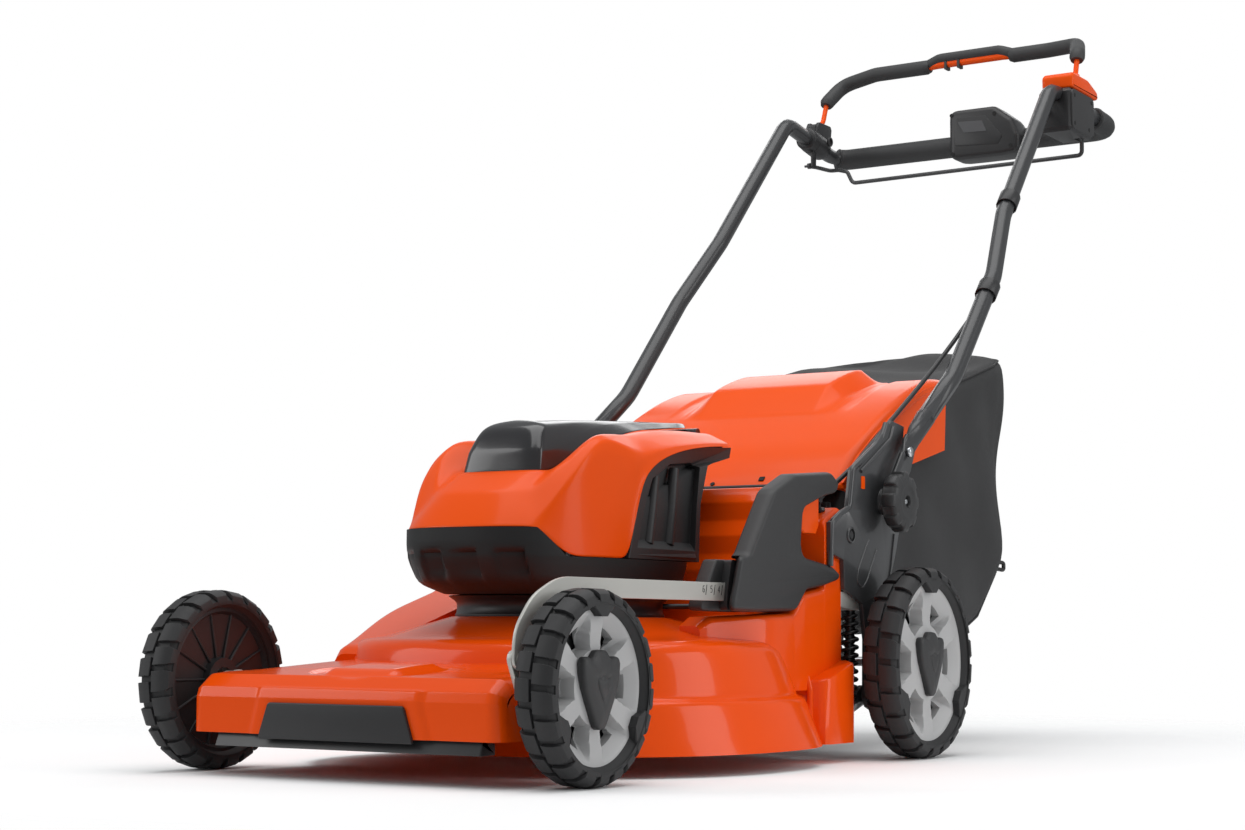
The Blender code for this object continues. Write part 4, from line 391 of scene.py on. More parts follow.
def inset_outline(outline, amount):
    """A closed outline of (a, b) points moved inward along its corners' bisectors."""
    count = len(outline)
    area = sum(a[0] * b[1] - b[0] * a[1] for a, b in zip(outline, outline[1:] + outline[:1]))
    turn = 1.0 if area > 0 else -1.0
    out = []
    for i in range(count):
        p = Vector(outline[i])
        a = (p - Vector(outline[i - 1])).normalized()
        b = (Vector(outline[(i + 1) % count]) - p).normalized()
        na, nb = Vector((-a.y, a.x)) * turn, Vector((-b.y, b.x)) * turn
        way = na + nb
        way = way / max(0.35, way.length_squared / 2) if way.length > 1e-6 else na
        out.append(tuple(p + way * amount))
    return out


def round_outline(outline, radii, steps=5):
    """A closed outline with its corners rounded."""
    count = len(outline)
    out = []
    for i in range(count):
        p = Vector(outline[i])
        a, b = Vector(outline[i - 1]) - p, Vector(outline[(i + 1) % count]) - p
        r = radii[i] if isinstance(radii, (list, tuple)) else radii
        half = a.angle(b) / 2
        cut = min(r / max(0.05, math.tan(half)), 0.48 * a.length, 0.48 * b.length)
        s, e = p + a.normalized() * cut, p + b.normalized() * cut
        out += [tuple(s * (1 - t) ** 2 + p * 2 * t * (1 - t) + e * t ** 2)
                for t in (k / steps for k in range(steps + 1))]
    return out


# Wheels: hub centre, radius, rim radius, body and the side that faces out.
WHEELS = {
    "front_left": (at(0.2554, 0.0, 0.1015), 0.1015, 0.0858, "front_wheel_left", 1),
    "front_right": (at(-0.2554, 0.0, 0.1015), 0.1015, 0.0858, "front_wheel_right", -1),
    "rear_left": (at(0.2997, 0.7018, 0.121), 0.121, 0.1045, "rear_wheel_left", 1),
    "rear_right": (at(-0.2997, 0.7018, 0.121), 0.121, 0.1045, "rear_wheel_right", -1),
}
TYRE_HALF = 0.024
TREAD_DEPTH = 0.0048
LUGS = 22
TABS = 3
SPOKES = 6
BACK_RIBS = 14
DISC_FACE, DISC_DEPTH = 0.0138, 0.02
DISC_COLUMNS = 288
# Radii across the disc's face, as shares of the rim: hub, spoke root, window, rim.
DISC_STATIONS = (0.16, 0.36, 0.43, 0.455, 0.472, 0.488, 0.505, 0.53, 0.555, 0.58, 0.605, 0.63,
                 0.655, 0.68, 0.705, 0.73, 0.76, 0.79, 0.82, 0.85, 0.875, 0.893, 0.91, 0.94)


def make_tyre(name, centre, radius, rim, body, side):
    """A block-tread tyre: two staggered rows of lugs that run over rounded shoulders."""
    bm = bmesh.new()
    base = radius - TREAD_DEPTH
    half = TYRE_HALF - 0.0008
    carcass = [(-half + 0.01, rim - 0.006), (-half + 0.003, rim - 0.001), (-half, rim + 0.004),
               (-half, base - 0.012), (-half + 0.002, base - 0.006), (-half + 0.007, base - 0.001),
               (-half + 0.014, base), (0, base + 0.0004), (half - 0.014, base),
               (half - 0.007, base - 0.001), (half - 0.002, base - 0.006), (half, base - 0.012),
               (half, rim + 0.004), (half - 0.003, rim - 0.001), (half - 0.01, rim - 0.006)]
    turned(bm, [(a * side, r) for a, r in carcass], centre, sides=96, caps=(False, False))
    step = 2 * math.pi / LUGS
    for row in (-1, 1):
        for k in range(LUGS):
            middle = (k + (0.5 if row > 0 else 0.0)) * step
            # Each lug: a section across the tyre, from near the middle over the shoulder.
            section = [(0.0015, base - 0.001, radius - 0.0003), (0.008, base - 0.001, radius),
                       (0.0145, base - 0.001, radius - 0.0006),
                       (0.0195, base - 0.003, radius - 0.003),
                       (0.0228, base - 0.006, radius - 0.0064),
                       (0.0238, base - 0.0095, radius - 0.0105)]
            lows, highs = [], []
            for i, (along, inner, outer) in enumerate(section):
                skew = (0.1 if row > 0 else -0.1) * step * (i / 5.0 - 0.5)
                width = step * (0.4 if k % 2 else 0.36) * (1.0 if i < 4 else 0.86)
                for t, kept in ((middle + skew - width, lows), (middle + skew + width, highs)):
                    for reach in (inner, outer):
                        kept.append(centre + Vector((along * row * side, reach * math.cos(t),
                                                     reach * math.sin(t))))
            count = len(section)
            low = [bm.verts.new(p) for p in lows]
            high = [bm.verts.new(p) for p in highs]
            for i in range(count - 1):
                a, b = 2 * i, 2 * i + 2
                bm.faces.new((low[a], low[a + 1], low[b + 1], low[b]))
                bm.faces.new((high[a], high[b], high[b + 1], high[a + 1]))
                bm.faces.new((low[a + 1], high[a + 1], high[b + 1], low[b + 1]))
            bm.faces.new((low[0], high[0], high[1], low[1]))
            bm.faces.new((low[-2], low[-1], high[-1], high[-2]))
    # Rubber tabs reach over the rim in front of every second spoke.
    for k in range(TABS):
        middle = math.pi / 2 + k * 2 * math.pi / TABS
        tab = ((rim + 0.003, 0.25), (rim * 0.965, 0.215), (rim * 0.88, 0.12),
               (rim * 0.845, 0.085))
        outline = [(r, -s) for r, s in tab] + [(r, s) for r, s in reversed(tab)]
        rows = []
        for along, shrink in ((0.011, 1.0), (0.0216, 1.0), (0.0228, 0.92)):
            row = []
            for r, s in outline:
                t = middle + s * shrink
                row.append(centre + Vector((along * side, r * math.cos(t), r * math.sin(t))))
            rows.append(row)
        loft(bm, rows)
    ob = finish_mesh(name + "_tread", bm, "tyre_rubber", body, stands_for=(name + "_tyre",),
                     angle=28)
    add_bevel(ob, 0.0009, segments=2, angle=28)


def make_disc(name, centre, rim, body, side):
    """The wheel's grey disc: a rolled rim, a dished web and spokes with deep windows."""
    bm = bmesh.new()
    columns, window = DISC_COLUMNS, 2 * math.pi / SPOKES
    stations = [rim * share for share in DISC_STATIONS] + [rim - 0.0003]

    def from_window(t, r):
        """How far a point lies from its window's middle, and the window's half width there."""
        off = abs((t % window) / window - 0.5) * window * r
        return off, 0.5 * window * r - (0.07 * rim + 0.085 * r)

    layers = {}
    back = DISC_FACE - DISC_DEPTH
    for level, along in (("front", DISC_FACE), ("back", back)):
        rows = []
        for r in stations:
            row = []
            for t in angles(columns, math.pi / 2):
                lift = 0.0
                if level == "front":
                    lift = -0.003 * math.exp(-((r - rim * 0.55) / (rim * 0.22)) ** 2)
                    off, wide = from_window(t - math.pi / 2, r)
                    if rim * 0.465 < r < rim * 0.9:
                        inside = between((wide - off) / 0.0024)
                        lift -= 0.016 * inside * between((rim * 0.905 - r) / (rim * 0.27))
                row.append(bm.verts.new(centre + Vector(((along + lift) * side, r * math.cos(t),
                                                         r * math.sin(t)))))
            rows.append(row)
        layers[level] = rows
    holes = set()
    for i in range(len(stations) - 1):
        middle_r = (stations[i] + stations[i + 1]) / 2
        for k in range(columns):
            t = 2 * math.pi * (k + 0.5) / columns
            off, wide = from_window(t, middle_r)
            wall = 0.0022 + 0.3 * (middle_r - rim * 0.48)
            if rim * 0.48 < middle_r < rim * 0.77 and off < wide - wall:
                holes.add((i, k))
    for level, rows in layers.items():
        for i in range(len(stations) - 1):
            for k in range(columns):
                if (i, k) in holes:
                    continue
                j = (k + 1) % columns
                bm.faces.new((rows[i][k], rows[i][j], rows[i + 1][j], rows[i + 1][k]))
    front, rear = layers["front"], layers["back"]
    for i, k in holes:
        j = (k + 1) % columns
        around = (((i - 1, k), (i, k), (i, j)), ((i + 1, k), (i + 1, k), (i + 1, j)),
                  ((i, k - 1), (i, k), (i + 1, k)), ((i, k + 1), (i, j), (i + 1, j)))
        for (ni, nk), a, b in around:
            if (ni, nk % columns) not in holes:
                bm.faces.new((front[a[0]][a[1]], front[b[0]][b[1]], rear[b[0]][b[1]],
                              rear[a[0]][a[1]]))
    for i in (0, len(stations) - 1):
        for k in range(columns):
            j = (k + 1) % columns
            bm.faces.new((front[i][k], front[i][j], rear[i][j], rear[i][k]))
    bmesh.ops.remove_doubles(bm, verts=bm.verts, dist=1e-6)
    finish_mesh(name + "_wheel_disc", bm, "rim_plastic", body, stands_for=(name + "_disc",),
                angle=40)
    # The wheel's black inner half closes the windows from behind and carries thin ribs.
    bm = bmesh.new()
    turned(bm, [((back - 0.0085) * side, rim * 0.985), ((back - 0.0095) * side, rim * 0.9),
                ((back - 0.004) * side, rim * 0.86), ((back - 0.003) * side, rim * 0.3),
                ((back - 0.011) * side, rim * 0.28), ((back - 0.011) * side, rim * 0.16)],
           centre, sides=96, caps=(False, False))
    for t in angles(BACK_RIBS):
        way = Vector((0, math.cos(t), math.sin(t)))
        start = centre + Vector(((back - 0.0045) * side, 0, 0))
        pipe(bm, [start + way * rim * 0.28, start + way * rim * 0.9], 0.0016, sides=8)
    finish_mesh(name + "_wheel_back", bm, "black_plastic", body, angle=40)


CAP_SIDE = [(0.0, 0.0385), (0.01, 0.0378), (0.016, 0.033), (0.0205, 0.0292), (0.03, 0.0318),
            (0.0375, 0.0306), (0.0405, 0.0245), (0.0395, 0.013), (0.0355, 0.0), (0.0282, -0.013),
            (0.0205, -0.0245), (0.0145, -0.0335), (0.0095, -0.04), (0.0045, -0.0425)]
CAP_NARROWING = 0.86


def cap_outline(inset):
    """The hub cap's shield outline: two blunt ears above and a long point below."""
    side = [(x * CAP_NARROWING, z) for x, z in CAP_SIDE]
    outline = side + [(-x, z) for x, z in reversed(side[1:])]
    return inset_outline(round_outline(outline, 0.005, 4), inset)


def make_cap(name, centre, body, side):
    bm = bmesh.new()
    # Each level: place along the axle, inset of the outline, and its share of the size.
    levels = ((0.012, 0.0, 1.0), (0.0172, 0.0, 1.0), (0.019, 0.0006, 1.0), (0.0202, 0.002, 1.0),
              (0.0208, 0.004, 1.0), (0.0222, 0.004, 0.8), (0.0229, 0.004, 0.62),
              (0.0229, 0.004, 0.45), (0.022, 0.004, 0.36), (0.0232, 0.004, 0.3))
    loft(bm, [[centre + Vector((along * side, a * share, b * share))
               for a, b in cap_outline(inset)] for along, inset, share in levels])
    finish_mesh(name + "_cap", bm, "dark_plastic", body, stands_for=(name + "_hub_cap",), angle=45)


for wheel, (hub, radius, rim, body, side) in WHEELS.items():
    make_tyre(wheel, hub, radius, rim, body, side)
    make_disc(wheel, hub, rim, body, side)
    make_cap(wheel, hub, body, side)


def mirrored(half):
    """A closed ring from the points of its x >= 0 half, which starts and ends on x = 0."""
    return list(half) + [Vector((-p.x, p.y, p.z)) for p in reversed(half[1:-1])]


def fill_across(bm, row):
    """Closes a mirrored ring with faces that run straight across."""
    count = len(row)
    half = count // 2
    for k in range(half):
        a, b = row[k], row[k + 1]
        c, d = row[(count - k - 1) % count], row[(count - k) % count]
        corners = []
        for v in (a, b, c, d):
            if v not in corners:
                corners.append(v)
        if len(corners) > 2:
            bm.faces.new(corners)


def crease_part(bm, rows, row, first, last, value):
    """Holds the edges of one row between two columns, on both sides of a mirrored ring."""
    ring = rows[row]
    count = len(ring)
    for k in range(first, last):
        crease(bm, ring[k], ring[k + 1], value)
        crease(bm, ring[(count - k) % count], ring[count - k - 1], value)


def points(*places):
    return [at(*p) for p in places]


# Motor cover. Its edge runs along the seam, up beside the vent column and round the canopy.
COVER_EDGE = points(
    (0, 0.1142, 0.2748), (0.043, 0.117, 0.2748), (0.069, 0.127, 0.2748), (0.0915, 0.1455, 0.2748),
    (0.1098, 0.1785, 0.2428), (0.1176, 0.205, 0.2424), (0.1234, 0.245, 0.2424),
    (0.1257, 0.284, 0.2424), (0.1265, 0.309, 0.319), (0.124, 0.328, 0.347), (0.118, 0.386, 0.372),
    (0.108, 0.487, 0.389), (0.0985, 0.574, 0.3945), (0.05, 0.5755, 0.398), (0, 0.576, 0.399))
COVER_CREASE = points(
    (0, 0.131, 0.2965), (0.042, 0.1335, 0.2965), (0.066, 0.14, 0.295), (0.0905, 0.153, 0.284),
    (0.109, 0.19, 0.333), (0.1125, 0.227, 0.367), (0.11, 0.263, 0.384), (0.119, 0.306, 0.369),
    (0.1185, 0.33, 0.3665), (0.1175, 0.352, 0.3715), (0.1135, 0.393, 0.381),
    (0.1045, 0.487, 0.3935), (0.0965, 0.571, 0.399), (0.05, 0.5745, 0.4045), (0, 0.575, 0.4065))
COVER_SHOULDER = points(
    (0, 0.149, 0.3165), (0.035, 0.15, 0.3165), (0.054, 0.156, 0.3162), (0.069, 0.168, 0.318),
    (0.093, 0.205, 0.357), (0.0985, 0.237, 0.384), (0.0965, 0.263, 0.3925),
    (0.0945, 0.3, 0.3955), (0.0915, 0.33, 0.3965), (0.0885, 0.352, 0.3985),
    (0.083, 0.393, 0.4035), (0.074, 0.48, 0.412), (0.078, 0.552, 0.411),
    (0.04, 0.566, 0.413), (0, 0.567, 0.414))
COVER_RIM = points(
    (0, 0.1925, 0.3435), (0.04, 0.1925, 0.3435), (0.053, 0.1945, 0.3435),
    (0.0588, 0.202, 0.3435), (0.0597, 0.223, 0.344), (0.0597, 0.25, 0.353),
    (0.0597, 0.279, 0.363), (0.0597, 0.31, 0.3745), (0.0597, 0.335, 0.384),
    (0.0597, 0.352, 0.39), (0.0585, 0.392, 0.401), (0.048, 0.48, 0.41),
    (0.04, 0.548, 0.4125), (0.024, 0.559, 0.4135), (0, 0.56, 0.414))


def make_upper_cover():
    bm = bmesh.new()
    inner = [Vector((p.x * 0.972, p.y + (0.0015 if i < 4 else -0.0015 if i > 12 else 0.0),
                     p.z - 0.009)) for i, p in enumerate(COVER_RIM)]
    turned_in = [Vector((p.x * 0.985, p.y + (0.003 if i < 4 else -0.004 if i > 11 else 0.0),
                         p.z + 0.0008)) for i, p in enumerate(COVER_EDGE)]
    halves = [turned_in, COVER_EDGE, COVER_CREASE, COVER_SHOULDER, COVER_RIM, inner]
    rows = loft(bm, [mirrored(h) for h in halves], caps=(False, False))
    for row, first, last, value in ((1, 0, 14, 0.85), (2, 3, 14, 0.62), (3, 0, 4, 0.5),
                                    (3, 4, 12, 0.25), (3, 12, 14, 0.45), (4, 0, 14, 0.9)):
        crease_part(bm, rows, row, first, last, value)
    crease_columns(bm, rows, {3: 0.35, 25: 0.35, 7: 0.3, 21: 0.3, 12: 0.5, 16: 0.5})
    finish_mesh("motor_cover_orange", bm, "orange_plastic", "mower",
                stands_for=("motor_upper_cover",), subsurf=3)


make_upper_cover()


def make_vent_column(side, node):
    """The dark louvred column behind the cover: a raised frame, two broad flutes and a flared sill,
    with the canopy's lip above it."""
    bm = bmesh.new()
    # The frame's outer line follows the cover's edge, a little clear of it.
    frame_line = [(0.2848, 0.243), (0.31, 0.319), (0.329, 0.3465), (0.386, 0.3712),
                  (0.487, 0.388), (0.573, 0.3935), (0.568, 0.38), (0.512, 0.369),
                  (0.488, 0.364), (0.456, 0.315), (0.448, 0.243)]
    lean = [0.1262, 0.1248, 0.1225, 0.117, 0.107, 0.098, 0.0985, 0.106, 0.113, 0.1215, 0.124]
    inner_line = [(0.304, 0.256), (0.325, 0.313), (0.344, 0.34), (0.392, 0.36),
                  (0.456, 0.366), (0.476, 0.365), (0.474, 0.364), (0.472, 0.363),
                  (0.47, 0.361), (0.448, 0.312), (0.44, 0.256)]
    loft(bm, [
        [at(0.09 * side, y, z) for y, z in frame_line],
        [at((x - 0.001) * side, y, z) for (y, z), x in zip(frame_line, lean)],
        [at(x * side, y + 0.0008, z) for (y, z), x in zip(frame_line, lean)],
        [at((x - 0.0004) * side, y, z) for (y, z), x in zip(inner_line, lean)],
        [at((x - 0.011) * side, y + 0.004, z + (0.01 if i in (0, 10) else -0.002))
         for i, ((y, z), x) in enumerate(zip(inner_line, lean))]])
    # Flutes stand on the sunk floor and lean with the column.
    for k in range(2):
        y0 = 0.35 + 0.047 * k
        low = at(0.113 * side, y0 - 0.005, 0.262)
        top = 0.344 + 0.012 * k
        high = at((0.1095 - 0.001 * k) * side, y0 + 0.017, top)
        pipe(bm, [low, low.lerp(high, 0.5), high], [0.0078, 0.0074, 0.006], sides=20)
    sill = [(0.1235, 0.244), (0.1262, 0.2475), (0.1225, 0.256), (0.115, 0.264),
            (0.105, 0.266), (0.105, 0.244)]
    loft(bm, [[at(x * side, y, z) for x, z in sill] for y in (0.3, 0.302, 0.438, 0.44)])
    ob = finish_mesh(node + "_louvres", bm, "dark_plastic", "mower", stands_for=(node,), angle=30)
    add_bevel(ob, 0.0012, segments=2, angle=35)


for side, name in ((1, "left"), (-1, "right")):
    make_vent_column(side, "vent_column_" + name)


def make_cover_back():
    """The plate that closes the cover under the canopy, between the two columns."""
    bm = bmesh.new()
    section = [(0.448, 0.244), (0.454, 0.31), (0.464, 0.356), (0.504, 0.37),
               (0.56, 0.385), (0.564, 0.398)]
    rings = [[at(x, y, z) for y, z in section] + [at(x, y - 0.004, z - 0.001)
                                                 for y, z in reversed(section)]
             for x in (-0.091, -0.045, 0.0, 0.045, 0.091)]
    loft(bm, rings)
    finish_mesh("motor_cover_back", bm, "dark_plastic", "mower", angle=50)


make_cover_back()


MOTOR_Y = 0.329
LOWER_LEVELS = ((0.2008, 0.06, 0.028), (0.2045, 0.048, 0.0215), (0.21, 0.03, 0.013),
                (0.215, 0.0205, 0.0085), (0.22, 0.016, 0.0065), (0.233, 0.0085, 0.0035),
                (0.242, 0.0045, 0.002), (0.258, 0.0025, 0.0018), (0.2745, 0.0025, 0.0018))
SCALLOPS = (-0.082, -0.036, 0.014, 0.066)


def level_at(z):
    for (za, fa, sa), (zb, fb, sb) in zip(LOWER_LEVELS, LOWER_LEVELS[1:]):
        if z <= zb:
            t = (z - za) / (zb - za)
            return fa + (fb - fa) * t, sa + (sb - sa) * t
    return LOWER_LEVELS[-1][1:]


def make_lower_cover():
    """The dark lower cover, with its scalloped air intakes in front."""
    bm = bmesh.new()
    columns, levels = 260, 26
    front, rear, half = 0.11, 0.452, 0.128
    foot, seam_low, seam_high = 0.2008, 0.2422, 0.2745

    def outline(t, z):
        """Round in front and boxy behind."""
        inset_front, inset_side = level_at(z)
        c, s = math.cos(t), math.sin(t)
        wide = half - inset_side
        if s < 0:
            power, deep = 2.0 / 3.0, MOTOR_Y - (front + inset_front)
        else:
            power, deep = 2.0 / 6.0, rear - MOTOR_Y - inset_side * 0.6
        return (wide * math.copysign(abs(c) ** power, c),
                MOTOR_Y + math.copysign(deep * abs(s) ** power, s))

    rows = []
    for level in range(levels + 1):
        row = []
        for t in angles(columns, -math.pi / 2):
            y_seam = outline(t, 0.258)[1]
            top = seam_low + (seam_high - seam_low) * between((0.1785 - y_seam) / 0.033)
            z = foot + (top - foot) * level / levels
            x, y = outline(t, z)
            push = 0.0
            if y < 0.19:
                for place in SCALLOPS:
                    off = (x - place) / 0.017
                    if abs(off) < 1.0:
                        across = smooth_step((1.0 - abs(off)) / 0.3) * (0.65 + 0.35 * off)
                        along = (smooth_step((0.2505 - z) / 0.0045)
                                 * smooth_step((z - 0.2035) / 0.03))
                        push = max(push, 0.0105 * across * along)
            row.append(at(x, y + push, z))
        rows.append(row)
    shut = [at(p.x * 0.93, CENTRE_Y + p.y + (0.27 - (CENTRE_Y + p.y)) * 0.07, 0.2006)
            for p in rows[0]]
    lip = [Vector((p.x * 0.985, p.y, p.z)) for p in rows[-1]]
    loft(bm, [shut, *rows, lip], caps=(True, False))
    finish_mesh("motor_cover_dark", bm, "cover_plastic_tint_against_light", "mower",
                stands_for=("motor_lower_cover",), angle=35)


make_lower_cover()


LID_SKIRT = points(
    (0, 0.1958, 0.3415), (0.038, 0.1958, 0.3415), (0.051, 0.1978, 0.3415),
    (0.0557, 0.206, 0.3415), (0.056, 0.225, 0.3425), (0.056, 0.279, 0.3615),
    (0.056, 0.322, 0.3775), (0.0558, 0.365, 0.3935), (0.0535, 0.41, 0.4045),
    (0.043, 0.48, 0.413), (0.0345, 0.545, 0.419), (0.029, 0.588, 0.423), (0, 0.59, 0.4235))
LID_FACET = points(
    (0, 0.201, 0.367), (0.036, 0.2012, 0.367), (0.0475, 0.204, 0.3668),
    (0.0525, 0.211, 0.3668), (0.052, 0.232, 0.37), (0.05, 0.279, 0.384),
    (0.0465, 0.318, 0.3975), (0.041, 0.36, 0.4085), (0.036, 0.41, 0.416),
    (0.031, 0.48, 0.4215), (0.027, 0.545, 0.4255), (0.024, 0.59, 0.4285), (0, 0.606, 0.429))
LID_CREST = points(
    (0, 0.214, 0.396), (0.032, 0.2145, 0.396), (0.0415, 0.2175, 0.395),
    (0.0455, 0.226, 0.394), (0.0445, 0.248, 0.397), (0.041, 0.288, 0.405),
    (0.037, 0.322, 0.4105), (0.0325, 0.362, 0.4145), (0.028, 0.41, 0.4175),
    (0.024, 0.48, 0.4225), (0.021, 0.545, 0.4265), (0.019, 0.588, 0.43), (0, 0.6, 0.4303))
LID_TOP = points(
    (0, 0.236, 0.407), (0.025, 0.237, 0.4066), (0.033, 0.24, 0.406),
    (0.0355, 0.248, 0.4062), (0.0345, 0.268, 0.408), (0.03, 0.302, 0.411),
    (0.026, 0.332, 0.413), (0.022, 0.368, 0.4155), (0.017, 0.412, 0.4182),
    (0.015, 0.48, 0.423), (0.013, 0.545, 0.427), (0.011, 0.586, 0.4303), (0, 0.59, 0.4305))


def make_lid():
    bm = bmesh.new()
    under = [Vector((p.x * 0.93, p.y + (0.003 if i < 4 else 0.0), p.z + 0.001))
             for i, p in enumerate(LID_SKIRT)]
    halves = [under, LID_SKIRT, LID_FACET, LID_CREST, LID_TOP]
    rows = loft(bm, [mirrored(h) for h in halves], caps=(False, False))
    fill_across(bm, rows[-1])
    fill_across(bm, rows[0])
    for row, first, last, value in ((1, 0, 12, 0.85), (0, 0, 12, 0.85), (2, 0, 11, 0.72),
                                    (3, 0, 4, 0.15)):
        crease_part(bm, rows, row, first, last, value)
    crease_columns(bm, rows, {3: 0.45, 21: 0.45})
    finish_mesh("battery_lid_shell", bm, "lid_plastic", "lid", stands_for=("battery_lid",),
                subsurf=3)
    bm = bmesh.new()
    pipe(bm, points((-0.0385, 0.59, 0.4166), (0.0385, 0.59, 0.4166)), 0.0058, sides=20)
    finish_mesh("battery_lid_barrel", bm, "lid_plastic", "lid")


make_lid()


def polyline_at(line, t):
    """The height of a polyline of (place, height) pairs at a place."""
    if t <= line[0][0]:
        return line[0][1]
    for (a, ha), (b, hb) in zip(line, line[1:]):
        if t <= b:
            return ha + (hb - ha) * (t - a) / (b - a)
    return line[-1][1]


def rounded_line(line, radius):
    return [(p.y, p.z) for p in rounded_path([Vector((0, y, z)) for y, z in line], radius, 5)]


def even_line(line, spacing):
    """Points along a (y, z) polyline no further apart than spacing, its own corners kept."""
    out = [line[0]]
    for (ya, za), (yb, zb) in zip(line, line[1:]):
        count = max(1, math.ceil(math.hypot(yb - ya, zb - za) / spacing))
        out += [(ya + (yb - ya) * k / count, za + (zb - za) * k / count)
                for k in range(1, count + 1)]
    return out


def flowing(line, steps):
    """A smooth curve through the points of a line."""
    out = []
    for i in range(len(line) - 1):
        p = [Vector(line[max(0, min(len(line) - 1, i + k))]) for k in (-1, 0, 1, 2)]
        for k in range(steps):
            t = k / steps
            out.append(tuple(0.5 * (2 * p[1] + (p[2] - p[0]) * t
                                    + (2 * p[0] - 5 * p[1] + 4 * p[2] - p[3]) * t ** 2
                                    + (3 * p[1] - p[0] - 3 * p[2] + p[3]) * t ** 3)))
    return out + [line[-1]]


def relief_sheet(bm, line, half, columns, lift, corner=0.01, side_low=None):
    """A sheet that runs across the machine over a (y, z) line. lift(x, y, z) raises it along
    its own normal, and its two side edges are rounded and may drop to side_low."""
    xs = []
    for k in range(columns + 1):
        t = -1 + 2 * k / columns
        xs.append(half * math.copysign(1 - (1 - abs(t)) ** 1.25, t))
    rows = []
    for i, (y, z) in enumerate(line):
        a, b = line[max(i - 1, 0)], line[min(i + 1, len(line) - 1)]
        run = Vector((b[0] - a[0], b[1] - a[1])).normalized()
        normal = Vector((-run.y, run.x))
        row = []
        for x in xs:
            edge = max(0.0, abs(x) - (half - corner)) / corner
            h = lift(x, y, z) - corner * (1 - math.sqrt(max(0.0, 1 - edge * edge)))
            row.append(at(x, y + normal.x * h, z + normal.y * h))
        rows.append(row)
    made = loft(bm, rows, closed=False, caps=(False, False))
    if side_low is not None:
        for column in (0, -1):
            chain = [row[column] for row in made]
            feet = [bm.verts.new((v.co.x, v.co.y, side_low)) for v in (chain[-1], chain[0])]
            bm.faces.new(chain + feet)


def swept_box(bm, line, side, inner, foot, radius, reach):
    """A box along a (y, z) line with its upper outer edge rounded. reach(y) is its outer face."""
    rings = []
    for y, z in line:
        outer = reach(y)
        arc = [(outer - radius + radius * math.cos(a), z - radius + radius * math.sin(a))
               for a in (0, 0.39, 0.79, 1.18, 1.57)]
        rings.append([at(x * side, y, w)
                      for x, w in [(inner, foot), (outer, foot), *arc, (inner, z)]])
    loft(bm, rings)


def deck_egg(t, inset):
    c, s = math.cos(t), math.sin(t)
    power = 2.0 / 2.3
    deep = 0.3 if s < 0 else 0.27
    return (math.copysign(abs(c) ** power, c) * (0.3 - inset),
            0.355 + math.copysign(abs(s) ** power, s) * (deep - inset))


